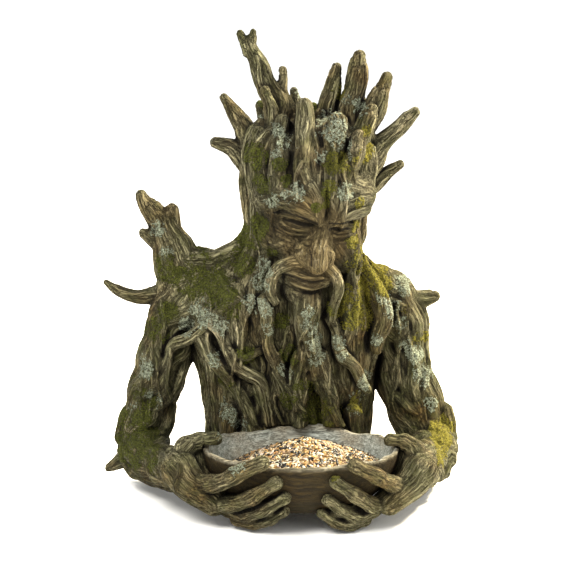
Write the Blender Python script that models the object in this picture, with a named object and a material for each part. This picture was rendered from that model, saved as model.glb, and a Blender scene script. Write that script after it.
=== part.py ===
"""Tree spirit bust that holds a shallow seed bowl in both hands.

World axes: +X to the viewer's right, -Y towards the viewer, +Z up, ground at z = 0.
The figure is a free form. Its points are laid out in thousandths of a metre on a
figure 588 high and scaled by FIGURE_HEIGHT, so pose and proportions are shares of it.
The bowl has sizes of its own, and the hands are placed from the bowl's own profile.
"""
import math

import bmesh
import bpy
import numpy as np
from mathutils import Matrix

# Driving sizes in metres
FIGURE_HEIGHT = 0.588
BOWL_LENGTH = 0.238
BOWL_WIDTH = 0.180
BOWL_HEIGHT = 0.067
BOWL_WALL = 0.006
BOWL_FLOOR = 0.008
BOWL_FOOT_SHARE = 0.62
BOWL_UNDERSIDE = 0.026
BOWL_OFFSET = 0.016
RIM_WAVE = 0.0022
PROW = 0.004
BOWL_CLEARANCE = 0.0003
CARVING_STEP = 0.003
FIGURE_TRIANGLES = 7800
BOWL_SIDES = 40
BOWL_RINGS = 5

# The figure's own layout
LAYOUT_HEIGHT = 588.0
UNIT = FIGURE_HEIGHT / LAYOUT_HEIGHT
CHEST_FRONT = 60.0 * UNIT
BACK_PLANE = 58.0 * UNIT
BOWL_CENTRE = (BOWL_OFFSET, -CHEST_FRONT - BOWL_WIDTH / 2)
FACE_POINT = (34.0, -88.0, 353.5)
FACE_YAW = math.radians(14.0)
FACE_PITCH = math.radians(14.0)
FACE_ROLL = math.radians(11.0)
EYE_HOLLOW = (13.0, 9.0, 5.0)
KNOT_SPACING = 38.0
SWAY_LENGTH = 23.0
RIM_LOBES = 5
RIM_FINE_LOBES = 11
RIM_FINE_SHARE = 0.6
PROW_SHARPNESS = 24
CUT_MARGIN = 0.060

WOOD = (0.155, 0.115, 0.075, 1.0)
BOWL_WOOD = (0.170, 0.145, 0.110, 1.0)


def clear_scene():
    """Take every object out of the open file."""
    for item in list(bpy.data.objects):
        bpy.data.objects.remove(item)


def material(name, colour, roughness):
    """A plain Principled material."""
    result = bpy.data.materials.new(name)
    result.use_nodes = True
    shader = result.node_tree.nodes["Principled BSDF"]
    shader.inputs["Base Color"].default_value = colour
    shader.inputs["Roughness"].default_value = roughness
    shader.inputs["Metallic"].default_value = 0.0
    return result


def add_object(name, data, finish=None):
    """Link one object and give it its material."""
    result = bpy.data.objects.new(name, data)
    bpy.context.scene.collection.objects.link(result)
    if finish is not None:
        data.materials.append(finish)
    return result


def as_cutter(item):
    """A cutter shows as wire and is left out of the model."""
    item.hide_render = True
    item.display_type = "WIRE"
    return item


def smooth_path(points, steps=5):
    """Catmull-Rom curve through (x, y, z, radius) points, with a domed last end."""
    knots = np.array(points, dtype=float)
    ends = np.vstack([2 * knots[0] - knots[1], knots, 2 * knots[-1] - knots[-2]])
    t = np.linspace(0.0, 1.0, steps, endpoint=False)[:, None]
    spans = []
    for a, b, c, d in zip(ends, ends[1:], ends[2:], ends[3:]):
        bend = 2 * a - 5 * b + 4 * c - d
        twist = 3 * b - a - 3 * c + d
        spans.append(0.5 * (2 * b + (c - a) * t + bend * t**2 + twist * t**3))
    path = np.vstack(spans + [knots[-1:]])
    heading = path[-1, :3] - path[-2, :3]
    heading /= np.linalg.norm(heading)
    radius = path[-1, 3]
    dome = [
        np.append(path[-1, :3] + heading * radius * math.sin(turn), radius * math.cos(turn))
        for turn in (0.5, 1.0, 1.35)
    ]
    return np.vstack([path] + dome)


def limb(curve, points):
    """One tapering round limb as a spline of the bevelled curve."""
    path = smooth_path(points)
    spline = curve.splines.new("POLY")
    spline.points.add(len(path) - 1)
    for knot, (x, y, z, radius) in zip(spline.points, path):
        knot.co = (x * UNIT, y * UNIT, z * UNIT, 1.0)
        knot.radius = radius * UNIT


def loft(mesh, sections, sides=40):
    """Oval rings (x, y, z, half width, half depth) joined from bottom to top."""
    turns = np.linspace(0.0, 2 * math.pi, sides, endpoint=False)
    rings = []
    for x, y, z, half_width, half_depth in sections:
        ring = [
            mesh.verts.new((
                (x + half_width * math.cos(turn)) * UNIT,
                (y + half_depth * math.sin(turn)) * UNIT,
                z * UNIT,
            ))
            for turn in turns
        ]
        rings.append(ring)
    for low, high in zip(rings, rings[1:]):
        for i in range(sides):
            j = (i + 1) % sides
            mesh.faces.new((low[i], low[j], high[j], high[i]))
    mesh.faces.new(rings[0][::-1])
    mesh.faces.new(rings[-1])


def face_frame():
    """Axes of the turned head: to its side, out of the face, up."""
    turn = Matrix.Rotation(FACE_YAW, 3, "Z")
    turn = turn @ Matrix.Rotation(FACE_PITCH, 3, "X")
    turn = turn @ Matrix.Rotation(FACE_ROLL, 3, "Y")
    return np.array(turn)


FACE_AXES = face_frame()


def on_face(side, out, up, radius):
    """A point given in the face's own directions, from the middle between the eyes."""
    place = np.array(FACE_POINT) + FACE_AXES @ np.array((side, -out, up))
    return (*place, radius)


def bowl_share(height):
    """Outer half axes at a share of the bowl's height, as a share of those at the rim."""
    level = min(max(height, 0.0), 1.0)
    return BOWL_FOOT_SHARE + (1.0 - BOWL_FOOT_SHARE) * (1.0 - (1.0 - level) ** 2) ** 0.8


def by_bowl(angle, height, stand_off, radius):
    """A finger joint: degrees round the bowl, share of its height, clear of its wall."""
    turn = math.radians(angle)
    share = bowl_share(height)
    x = BOWL_CENTRE[0] + (BOWL_LENGTH / 2 * share + stand_off * UNIT) * math.cos(turn)
    y = BOWL_CENTRE[1] + (BOWL_WIDTH / 2 * share + stand_off * UNIT) * math.sin(turn)
    z = BOWL_UNDERSIDE + BOWL_HEIGHT * height
    return (x / UNIT, y / UNIT, z / UNIT, radius)


# Oval levels (x, y, z, half width, half depth) of the trunk and of the head, from below
TRUNK = (
    (0, 0, -12, 98, 58),
    (0, 0, 60, 98, 58),
    (0, -2, 140, 100, 60),
    (0, -2, 195, 114, 62),
    (-2, 0, 235, 136, 60),
    (0, 4, 262, 138, 52),
    (4, 6, 284, 96, 44),
    (14, 4, 310, 60, 50),
)
HEAD = (
    (18, -18, 250, 56, 56),
    (22, -22, 285, 58, 64),
    (26, -22, 320, 59, 70),
    (29, -20, 355, 60, 75),
    (28, -20, 390, 70, 80),
    (27, -17, 420, 76, 78),
    (27, -12, 448, 76, 68),
    (28, -6, 468, 62, 52),
    (29, -2, 480, 40, 32),
)


def trunk(mesh):
    """The standing trunk with its shoulders, then neck, head and crown."""
    loft(mesh, TRUNK)
    loft(mesh, HEAD)


def root_down(curve, levels, angle, top, bottom, radius, sway=5.0):
    """A root that hugs an oval mass at one angle and sways a little on its way down."""
    table = np.array(levels, dtype=float)
    points = []
    for z in np.linspace(top, bottom, max(3, int((top - bottom) / KNOT_SPACING))):
        x, y, half_width, half_depth = (np.interp(z, table[:, 2], table[:, k]) for k in (0, 1, 3, 4))
        turn = math.radians(angle + sway * math.sin(z / SWAY_LENGTH + angle))
        points.append((x + half_width * math.cos(turn), y + half_depth * math.sin(turn), z, radius))
    limb(curve, points)


def mass_roots(curve):
    """Roots all round the trunk and the head, closer in front than behind."""
    for i in range(9):
        root_down(curve, TRUNK, -168 + 19.5 * i, 232 - 6 * (i % 3), 4, 10 + i % 2)
    for i in range(6):
        root_down(curve, TRUNK, 22 + 27 * i, 250 - 8 * (i % 2), 4, 12)
    for i in range(9):
        root_down(curve, HEAD, 12 + 19.5 * i, 462 + 5 * (i % 2), 292, 11)
    for i in range(3):
        root_down(curve, HEAD, -180 + 17 * i, 458, 300, 11)
        root_down(curve, HEAD, -1 - 14 * i, 456, 318, 9)
    for i in range(7):
        root_down(curve, HEAD, -150 + 19 * i, 470, 398 + 4 * abs(i - 3), 10, 4.0)


# Broken root stubs that rise from the head, left to right: (x, y, z, radius) from root to tip
CROWN = (
    ((-4, -5, 455, 22), (-20, 0, 505, 16), (-36, 4, 542, 11), (-51, 8, 570, 10)),
    ((-51, 8, 560, 7), (-60, 8, 579, 5)),
    ((-47, 8, 562, 7), (-44, 8, 581, 5)),
    ((-7, -8, 480, 10), (-7, -6, 535, 5)),
    ((-36, 5, 425, 16), (-60, 8, 470, 11), (-81, 12, 498, 7)),
    ((-42, 0, 405, 16), (-70, 4, 436, 11), (-92, 8, 444, 7)),
    ((-13, -24, 465, 12), (-29, -20, 512, 7)),
    ((28, -90, 394, 14), (23, -82, 431, 17), (20, -58, 468, 13), (20, -46, 496, 10)),
    ((50, 5, 462, 16), (54, 8, 505, 12), (60, 10, 536, 8)),
    ((78, 0, 460, 17), (84, 4, 515, 13), (88, 6, 552, 9)),
    ((84, -10, 445, 18), (110, -4, 495, 12), (123, 0, 524, 9)),
    ((82, -42, 425, 15), (93, -32, 468, 12), (104, -26, 488, 10)),
    ((88, -18, 412, 20), (129, -10, 456, 12), (158, -6, 483, 7)),
    ((86, 0, 374, 16), (120, 0, 402, 9), (141, 0, 417, 6)),
    ((58, -90, 392, 9), (68, -88, 412, 12), (80, -78, 437, 12), (86, -68, 460, 9)),
    ((-4, -70, 388, 11), (-15, -54, 426, 10), (-22, -42, 448, 8)),
    ((-30, -42, 388, 10), (-37, -30, 419, 9), (-41, -24, 433, 7)),
    ((46, -62, 446, 9), (50, -76, 412, 9), (46, -78, 390, 6)),
)


def crown(curve):
    """Broken root stubs that rise from the head, left to right."""
    for points in CROWN:
        limb(curve, points)


def back_of_crown(curve):
    """Plainer stubs that fill the crown behind."""
    for x, lean, top in ((-20, -14, 492), (12, -4, 508), (44, 6, 496), (76, 16, 500)):
        limb(curve, [(x, 34, 440, 14), (x + lean / 2, 42, 474, 10), (x + lean, 46, top - 6, 7)])


# Brow, frown, nostril, cheek, eye and upper lip on one side: (side, out, up, radius) on the face
FACE_SIDE = (
    ((7, 10, 13, 8), (24, 9, 21, 11), (44, -6, 16, 9)),
    ((9, 6, 22, 8), (12, 0, 48, 9), (16, -12, 74, 8)),
    ((9, 14, -38, 7), (13, 13, -38, 6)),
    ((20, -2, -22, 12), (36, -8, -28, 13), (44, -22, -40, 12)),
    ((22, -8, -1, 10), (34, -9, -1, 9)),
    ((3, 14, -57, 6), (12, 12, -57, 6)),
)


def face(curve):
    """Brows, nose, cheeks, eyes and lips, mirrored about the nose."""
    limb(curve, [on_face(0, -40, 34, 44), on_face(0, -38, -8, 43), on_face(0, -40, -52, 38)])
    limb(curve, [on_face(0, out, up, 9) for out, up in ((4, 34), (10, 10), (19, -18), (27, -40))])
    limb(curve, [on_face(-2, 16, -42, 8), on_face(2, 16, -42, 8)])
    limb(curve, [on_face(-14, 8, -72, 5), on_face(0, 13, -73, 6), on_face(14, 8, -72, 5)])
    for side in (-1, 1):
        for strokes in FACE_SIDE:
            limb(curve, [on_face(side * x, out, up, radius) for x, out, up, radius in strokes])


# Moustache, beard and neck roots: (x, y, z, radius) from top to bottom
BEARD = (
    (on_face(-12, 16, -50, 8), on_face(-30, 10, -52, 9), on_face(-42, 2, -64, 9),
     (-22, -96, 288, 8), (-18, -92, 262, 8), (-22, -84, 238, 6)),
    (on_face(12, 16, -50, 7), on_face(24, 10, -58, 8), (64, -92, 272, 8),
     (59, -88, 251, 8), (55, -84, 227, 7)),
    ((24, -86, 268, 14), (22, -94, 248, 17), (25, -88, 204, 17), (32, -80, 172, 12), (40, -76, 146, 8)),
    ((20, -84, 190, 14), (14, -78, 138, 12), (14, -70, 88, 12)),
    ((34, -82, 190, 13), (50, -74, 141, 12), (54, -70, 88, 11)),
    ((-28, -78, 262, 9), (-25, -80, 221, 10), (-20, -76, 192, 9), (-4, -74, 159, 8), (3, -72, 118, 7)),
    ((79, -62, 318, 9), (78, -70, 270, 10), (76, -72, 238, 10), (70, -70, 205, 9)),
    ((-27, -56, 305, 12), (-38, -58, 254, 12), (-32, -62, 208, 9)),
    ((-48, 0, 440, 15), (-46, -8, 390, 13), (-44, -12, 340, 13),
     (-62, -8, 300, 16), (-84, -6, 276, 16)),
    ((-34, -40, 420, 11), (-36, -44, 370, 10), (-40, -42, 325, 11), (-58, -40, 285, 12)),
    ((88, 0, 360, 9), (76, -6, 320, 11), (90, -6, 288, 14), (122, -2, 272, 16)),
    ((-58, -8, 310, 17), (-88, -2, 292, 18), (-122, 6, 286, 20)),
    ((24, -50, 284, 32), (26, -48, 230, 38), (28, -36, 170, 34), (28, -30, 120, 30)),
    ((-18, -44, 262, 28), (-16, -40, 222, 31), (-14, -32, 170, 29), (-14, -26, 120, 25)),
    ((64, -44, 262, 28), (66, -40, 222, 31), (66, -32, 170, 29), (66, -26, 120, 25)),
    ((-60, -48, 270, 9), (-53, -60, 230, 8), (-60, -64, 196, 7)),
    ((52, -80, 238, 9), (65, -74, 194, 9), (84, -66, 168, 9), (98, -56, 130, 8)),
)


def beard(curve):
    """Moustache and roots that hang over the chin and the chest."""
    for points in BEARD:
        limb(curve, points)


# Roots that cross the chest: (x, y, z, radius)
CHEST_ROOTS = (
    ((-112, -42, 205, 10), (-91, -56, 177, 10), (-60, -62, 134, 10), (-41, -62, 90, 9)),
    ((-88, -50, 218, 10), (-66, -60, 178, 10), (-35, -66, 148, 10), (-20, -62, 90, 9)),
    ((-40, -40, 290, 12), (-66, -48, 250, 11), (-91, -46, 233, 11),
     (-117, -40, 208, 10), (-146, -26, 190, 9), (-160, -20, 160, 7)),
    ((86, -36, 300, 13), (106, -42, 272, 13), (118, -46, 236, 12), (112, -50, 190, 10)),
    ((82, -56, 112, 12), (88, -52, 60, 12)),
    ((-70, -54, 112, 12), (-78, -50, 60, 12)),
)


def chest_roots(curve):
    """Roots that cross the chest, and the shoulders on both sides."""
    for points in CHEST_ROOTS:
        limb(curve, points)
    for side in (-1, 1):
        limb(curve, [(14 + side * 44, 0, 300, 26), (side * 92, 4, 266, 26), (side * 132, 6, 255, 29)])


# Broken branches on shoulders and elbows: (x, y, z, radius) from root to tip
SIDE_BRANCHES = (
    ((-118, 10, 262, 34), (-144, 14, 300, 24), (-160, 16, 334, 18),
     (-176, 18, 356, 13), (-185, 20, 374, 9)),
    ((-146, 15, 312, 15), (-148, 16, 342, 12), (-148, 16, 358, 8)),
    ((-158, 16, 330, 13), (-166, 17, 354, 10), (-172, 18, 366, 7)),
    ((-162, 14, 316, 12), (-184, 10, 328, 7)),
    ((-160, 5, 250, 13), (-189, 2, 244, 9), (-214, 0, 254, 7), (-231, 0, 265, 5)),
    ((150, 5, 240, 16), (172, 5, 243, 11), (186, 5, 247, 8)),
    ((-200, 8, 40, 16), (-220, 10, 24, 10), (-234, 10, 16, 6)),
    ((196, 4, 40, 18), (204, 2, 74, 15), (200, 4, 96, 12)),
)


def side_branches(curve):
    """Broken branches on shoulders and elbows."""
    for points in SIDE_BRANCHES:
        limb(curve, points)


# Upper arms, armpits and forearms down to the wrists beside the bowl: (x, y, z, radius)
ARMS = (
    ((-116, 4, 258, 32), (-146, 6, 212, 34), (-162, 8, 150, 33), (-181, 8, 90, 33), (-190, 0, 48, 34)),
    ((-118, 0, 206, 22), (-106, 0, 165, 14), (-100, 0, 110, 12)),
    ((112, 0, 206, 20), (104, 0, 165, 12), (99, 0, 110, 10)),
    ((112, 4, 258, 32), (136, 6, 212, 33), (146, 8, 150, 33), (164, 8, 90, 32), (183, 0, 50, 34)),
    ((-188, 0, 47, 33), (-174, -50, 45, 29), (-153, -95, 49, 27), by_bowl(187, 0.62, 34, 25)),
    ((186, 0, 50, 34), (183, -50, 50, 29), (172, -98, 55, 26), by_bowl(-8, 0.62, 32, 23)),
)


def arms(curve):
    """Both arms, with three thick roots down the outside of each."""
    for points in ARMS:
        limb(curve, points)
    for side in (-1, 1):
        for i in range(3):
            turn = math.radians(-50 + 40 * i)
            x = side * 24 * math.cos(turn)
            y = 22 * math.sin(turn)
            limb(curve, [
                (side * 130 + x, 4 + y, 258, 11),
                (side * 144 + x * 1.1, 8 + y, 205, 12),
                (side * 154 + x * 1.1, 8 + y, 140, 12),
                (side * 180 + x, 4 + y, 60, 12),
            ])


# Palms, fingers and thumbs: (degrees round the bowl, share of its height, clear of its wall, radius)
HANDS = (
    ((187, 0.62, 34, 24), (193, 0.40, 31, 22), (203, 0.10, 28, 16)),
    ((-8, 0.62, 32, 22), (-14, 0.42, 30, 20), (-24, 0.12, 28, 16)),
    ((172, 0.78, 16, 15), (180, 0.42, 14, 15), (196, 0.12, 14, 13)),
    ((8, 0.78, 16, 14), (0, 0.42, 14, 14), (-16, 0.12, 14, 12)),
    ((206, 0.02, 8, 11), (226, 0.06, 5, 10), (246, 0.10, 4, 9)),
    ((-26, 0.02, 8, 11), (-44, 0.04, 5, 10), (-62, 0.08, 4, 9)),
    ((194, 0.44, 24, 12), (219, 0.60, 14, 11), (237, 0.90, 10, 10.5), (248, 1.08, 5, 9)),
    ((200, 0.20, 28, 12), (212, 0.12, 20, 11), (238, 0.38, 11, 10), (256, 0.74, 6, 8)),
    ((206, 0.00, 24, 11), (220, -0.06, 16, 10.5), (243, 0.15, 12, 9.5), (260, 0.44, 6, 7.5)),
    ((212, -0.18, 16, 9.5), (226, -0.20, 13, 9), (241, -0.12, 10, 8.5), (257, 0.12, 6, 7)),
    ((-12, 0.38, 24, 12), (-28, 0.50, 14, 10.5), (-48, 0.80, 10, 10), (-60, 1.02, 5, 8.5)),
    ((-20, 0.16, 24, 12), (-34, 0.12, 18, 10.5), (-56, 0.42, 11, 9.5), (-71, 0.74, 6, 7.5)),
    ((-26, -0.02, 22, 11), (-40, -0.10, 16, 10), (-56, 0.06, 11, 9), (-74, 0.38, 6, 7)),
    ((-32, -0.20, 15, 9), (-46, -0.24, 12, 8.5), (-60, -0.16, 10, 8), (-74, 0.06, 6, 6.5)),
    ((184, 0.78, 30, 14), (182, 0.98, 22, 13), (178, 1.07, 8, 11.5), (180, 1.14, -14, 9)),
    ((-6, 0.76, 28, 13), (-3, 0.94, 20, 12), (-2, 1.08, 9, 10.5), (-1, 1.11, -10, 8.5)),
)


def hands(curve):
    """Palms beside and under the bowl, four fingers round it, thumbs over the rim."""
    for joints in HANDS:
        limb(curve, [by_bowl(*joint) for joint in joints])


def bowl_outline(inner=False, grow=0.0):
    """Rings of (share of half axes, inset, height), foot to rim outside, rim to floor inside."""
    levels = [i / BOWL_RINGS for i in range(BOWL_RINGS + 1)]
    rings = [(bowl_share(level), grow, level * BOWL_HEIGHT) for level in levels]
    rings.append((1.0, -BOWL_WALL, BOWL_HEIGHT))
    if inner:
        floor = BOWL_FLOOR / BOWL_HEIGHT
        for i in range(1, BOWL_RINGS + 1):
            level = 1.0 - (1.0 - floor) * i / BOWL_RINGS
            rings.append((bowl_share(level), -BOWL_WALL, level * BOWL_HEIGHT))
    return rings


def bowl_mesh(name, hollow, grow=0.0):
    """An oval bowl with a gently waving rim and a slight prow in front."""
    mesh = bmesh.new()
    rings = []
    for share, inset, height in bowl_outline(hollow, grow):
        ring = []
        for i in range(BOWL_SIDES):
            turn = 2 * math.pi * i / BOWL_SIDES
            rise = height / BOWL_HEIGHT
            prow = PROW * rise * max(0.0, -math.sin(turn)) ** PROW_SHARPNESS
            lobes = math.sin(RIM_LOBES * turn + 0.7) + RIM_FINE_SHARE * math.sin(RIM_FINE_LOBES * turn)
            wave = RIM_WAVE * rise**3 * lobes
            ring.append(mesh.verts.new((
                BOWL_CENTRE[0] + (BOWL_LENGTH / 2 * share + inset) * math.cos(turn),
                BOWL_CENTRE[1] + (BOWL_WIDTH / 2 * share + inset + prow) * math.sin(turn),
                BOWL_UNDERSIDE + height + wave,
            )))
        rings.append(ring)
    if grow:
        for vert in rings[0]:
            vert.co.z -= grow
        for vert in rings[-2] + rings[-1]:
            vert.co.z += grow
    for low, high in zip(rings, rings[1:]):
        for i in range(BOWL_SIDES):
            j = (i + 1) % BOWL_SIDES
            mesh.faces.new((low[i], low[j], high[j], high[i]))
    mesh.faces.new(rings[0][::-1])
    mesh.faces.new(rings[-1])
    data = bpy.data.meshes.new(name)
    mesh.to_mesh(data)
    mesh.free()
    return data


def slab(name, low, high):
    """A plain box between two corners, used to cut."""
    mesh = bmesh.new()
    bmesh.ops.create_cube(mesh, size=1.0)
    size = [b - a for a, b in zip(low, high)]
    middle = [(a + b) / 2 for a, b in zip(low, high)]
    bmesh.ops.scale(mesh, vec=size, verts=mesh.verts)
    bmesh.ops.translate(mesh, vec=middle, verts=mesh.verts)
    data = bpy.data.meshes.new(name)
    mesh.to_mesh(data)
    mesh.free()
    return as_cutter(add_object(name, data))


def eye_hollow(side):
    """A lens shaped cutter that sinks the eye under its brow."""
    mesh = bmesh.new()
    bmesh.ops.create_uvsphere(mesh, u_segments=14, v_segments=8, radius=1.0)
    bmesh.ops.scale(mesh, vec=[length * UNIT for length in EYE_HOLLOW], verts=mesh.verts)
    place = on_face(side * 27, 4, 4, 1.0)
    turn = Matrix(FACE_AXES.tolist()).to_4x4()
    turn.translation = [value * UNIT for value in place[:3]]
    bmesh.ops.transform(mesh, matrix=turn, verts=mesh.verts)
    data = bpy.data.meshes.new("eye_hollow")
    mesh.to_mesh(data)
    mesh.free()
    return as_cutter(add_object("eye_hollow", data))


def figure(finish):
    """All masses and limbs fused into one carved solid, then cut by bowl, ground and back."""
    curve = bpy.data.curves.new("limbs", "CURVE")
    curve.dimensions = "3D"
    curve.bevel_depth = 1.0
    curve.bevel_resolution = 3
    curve.use_fill_caps = True
    for carve in (mass_roots, crown, back_of_crown, face, beard, chest_roots, side_branches, arms, hands):
        carve(curve)
    limbs = as_cutter(add_object("limbs", curve))
    bpy.context.view_layer.update()
    ready = limbs.evaluated_get(bpy.context.evaluated_depsgraph_get())
    limb_mesh = bpy.data.meshes.new_from_object(ready)
    mesh = bmesh.new()
    mesh.from_mesh(limb_mesh)
    trunk(mesh)
    data = bpy.data.meshes.new("figure")
    mesh.to_mesh(data)
    mesh.free()
    bpy.data.meshes.remove(limb_mesh)
    bpy.data.objects.remove(limbs)
    result = add_object("figure", data, finish)

    fuse = result.modifiers.new("fuse", "REMESH")
    fuse.mode = "VOXEL"
    fuse.voxel_size = CARVING_STEP
    soften = result.modifiers.new("soften", "SMOOTH")
    soften.factor = 0.5
    soften.iterations = 2
    bpy.context.view_layer.update()
    fused = result.evaluated_get(bpy.context.evaluated_depsgraph_get())
    quads = len(fused.data.polygons)
    thin = result.modifiers.new("thin", "DECIMATE")
    thin.ratio = FIGURE_TRIANGLES / (2 * quads)

    reach = FIGURE_HEIGHT
    behind = (reach, BACK_PLANE + CUT_MARGIN, reach + CUT_MARGIN)
    cutters = [
        as_cutter(add_object("bowl_seat", bowl_mesh("bowl_seat", False, BOWL_CLEARANCE))),
        slab("ground", (-reach, -reach, -CUT_MARGIN), (reach, reach, 0.0)),
        slab("back", (-reach, BACK_PLANE, -CUT_MARGIN), behind),
        eye_hollow(-1),
        eye_hollow(1),
    ]
    for cutter in cutters:
        cut = result.modifiers.new(cutter.name, "BOOLEAN")
        cut.operation = "DIFFERENCE"
        cut.solver = "EXACT"
        cut.object = cutter
    return result


def main():
    """Build the figure and its bowl."""
    clear_scene()
    figure(material("carved_wood", WOOD, 0.85))
    bowl_finish = material("bowl_wood", BOWL_WOOD, 0.75)
    bowl = add_object("seed_bowl", bowl_mesh("seed_bowl", True), bowl_finish)
    bowl.data.shade_smooth()
    bowl.data.set_sharp_from_angle(angle=math.radians(50))


main()
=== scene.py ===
# %% [markdown]
# # A tree spirit that holds a seed bowl
# The real object is a weathered wood carving: a bust made of roots, with a face, a root beard,
# a crown of broken branches and two hands round a shallow bowl of birdseed. Moss and lichen
# grow on it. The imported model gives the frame: every size below is taken from its boxes.

import itertools
import math

import bmesh
import bpy
import numpy as np
import openvdb
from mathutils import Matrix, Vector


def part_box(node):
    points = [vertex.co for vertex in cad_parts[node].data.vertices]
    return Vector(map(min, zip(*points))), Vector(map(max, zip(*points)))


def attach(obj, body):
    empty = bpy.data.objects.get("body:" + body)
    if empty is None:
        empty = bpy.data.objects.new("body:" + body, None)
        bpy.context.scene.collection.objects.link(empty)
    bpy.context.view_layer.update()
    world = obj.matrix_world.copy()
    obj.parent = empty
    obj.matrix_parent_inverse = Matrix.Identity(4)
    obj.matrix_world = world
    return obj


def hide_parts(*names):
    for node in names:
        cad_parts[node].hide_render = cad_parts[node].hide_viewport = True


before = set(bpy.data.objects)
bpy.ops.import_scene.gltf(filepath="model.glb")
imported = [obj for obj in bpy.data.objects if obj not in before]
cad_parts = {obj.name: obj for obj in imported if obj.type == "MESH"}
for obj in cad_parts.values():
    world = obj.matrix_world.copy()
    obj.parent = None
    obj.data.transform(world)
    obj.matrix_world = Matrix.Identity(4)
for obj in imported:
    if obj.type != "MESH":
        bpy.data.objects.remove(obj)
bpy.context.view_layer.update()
figure_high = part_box("figure")[1]
bowl_low, bowl_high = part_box("seed_bowl")
print("bowl from", bowl_low, "to", bowl_high)

# %% [markdown]
# ## One layout unit
# The figure is laid out in thousandths of a metre at its usual height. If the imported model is
# made taller or smaller, the layout unit follows it, so the looks stay on the solids.

# %% Layout unit and the bowl's place
LAYOUT_TOP = 586.1
UNIT = figure_high.z / LAYOUT_TOP
PROW = 4.0
bowl_middle = np.array((
    (bowl_low.x + bowl_high.x) / 2,
    (bowl_low.y + bowl_high.y) / 2 + PROW * UNIT / 2,
)) / UNIT
bowl_half = np.array((
    (bowl_high.x - bowl_low.x) / 2,
    (bowl_high.y - bowl_low.y) / 2 - PROW * UNIT / 2,
)) / UNIT
bowl_foot = bowl_low.z / UNIT
BOWL_RISE = 67.0
print("layout unit", round(UNIT, 6))
print("bowl middle", bowl_middle.round(1), "half axes", bowl_half.round(1))

# %% [markdown]
# ## Clay made of distances
# A root carving is hundreds of strands that melt into each other. One way is to model every
# strand as a tube and join them, which leaves hard seams. Here a block of cells stores how far
# each cell is from the wood. A strand is laid in by taking the smaller distance, softened where
# two are nearly equal, and a cut by taking the larger one. The wood's skin is where it is zero.

# %% The block of cells
STEP = 1.6
FAR = 10.0
LOW = np.array((-252.0, -264.0, -9.0))
CELLS = np.array((306, 209, 380))
field = np.full(CELLS, FAR, np.float32)
owner = np.zeros(CELLS, np.int32)
threads = []
rng = np.random.default_rng(7)


def cells_of(low, high):
    """First and last cell of a box in layout units, and its three open coordinate grids."""
    first = np.clip(np.floor((low - LOW) / STEP).astype(int), 0, CELLS - 2)
    last = np.clip(np.ceil((high - LOW) / STEP).astype(int) + 1, first + 2, CELLS)
    axes = [LOW[i] + STEP * np.arange(first[i], last[i]) for i in range(3)]
    grids = np.meshgrid(*[a.astype(np.float32) for a in axes], indexing="ij", sparse=True)
    return first, last, grids


def blend_in(first, last, near, whose, blend, cut=False):
    """Smooth union: min(a, b) - h*h*k/4 with h = max(k - |a - b|, 0)/k. A cut is the smooth
    maximum of the field and the negated distance."""
    region = tuple(slice(a, b) for a, b in zip(first, last))
    old = field[region]
    if cut:
        mix = np.maximum(blend - np.abs(old + near), 0.0) / blend
        field[region] = np.maximum(old, -near) + mix * mix * blend / 4
        return
    owner[region] = np.where(near < old, whose, owner[region])
    mix = np.maximum(blend - np.abs(old - near), 0.0) / blend
    field[region] = np.minimum(old, near) - mix * mix * blend / 4


print("block of", int(np.prod(CELLS)), "cells")

# %% [markdown]
# ## Strands
# A strand is a curve through a few points with a radius at each. Its surface is every point
# whose distance from the curve equals the radius there. Each short piece of a strand also
# remembers its own directions, because wood fibres run along the strand they belong to.

# %% Curves and strands


def curve_through(points, step=5.0, wobble=0.0):
    """Catmull-Rom curve: between knots b and c it is half of 2b + (c-a)t + (2a-5b+4c-d)t^2 +
    (3b-a-3c+d)t^3. Wobble moves it sideways by sines of its length and swells the radius."""
    knots = np.asarray(points, float)
    ends = np.vstack([2 * knots[0] - knots[1], knots, 2 * knots[-1] - knots[-2]])
    rows = []
    for a, b, c, d in zip(ends, ends[1:], ends[2:], ends[3:]):
        count = max(1, math.ceil(np.linalg.norm((c - b)[:3]) / step))
        t = np.arange(count)[:, None] / count
        rows.append(0.5 * (2 * b + (c - a) * t + (2 * a - 5 * b + 4 * c - d) * t**2
                           + (3 * b - a - 3 * c + d) * t**3))
    path = np.vstack(rows + [knots[-1:]])
    if wobble:
        run = np.append(0, np.cumsum(np.linalg.norm(np.diff(path[:, :3], axis=0), axis=1)))
        phase = rng.uniform(0, 6.28, 8)
        waves = [np.sin(run / 17 + phase[i]) + 0.6 * np.sin(run / 8.3 + phase[i + 4]) for i in range(4)]
        path[:, :3] += wobble * 0.22 * path[:, 3:] * np.stack(waves[:3], axis=1)
        path[:, 3] *= 1 + 0.10 * wobble * waves[3]
    path[:, 3] = np.maximum(path[:, 3], 1.0)
    return path


def remember(path):
    """Adds one row a piece to `threads`: start, run, two cross directions, length so far, seed."""
    run = np.diff(path[:, :3], axis=0)
    length = np.maximum(np.linalg.norm(run, axis=1), 1e-6)
    heading = run / length[:, None]
    so_far = np.append(0, np.cumsum(length))[:-1]
    side = np.cross(heading[0], (0.31, 0.95, 0.05) if abs(heading[0][1]) < 0.9 else (1.0, 0.1, 0.0))
    seed = rng.uniform(-900, 900)
    first = len(threads) + 1
    for h, r, s, start in zip(heading, run, so_far, path[:, :3]):
        side = side - h * (side @ h)
        side = side / np.linalg.norm(side)
        threads.append(np.concatenate([start, r, side, np.cross(h, side), (s, seed)]))
    return first


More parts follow.
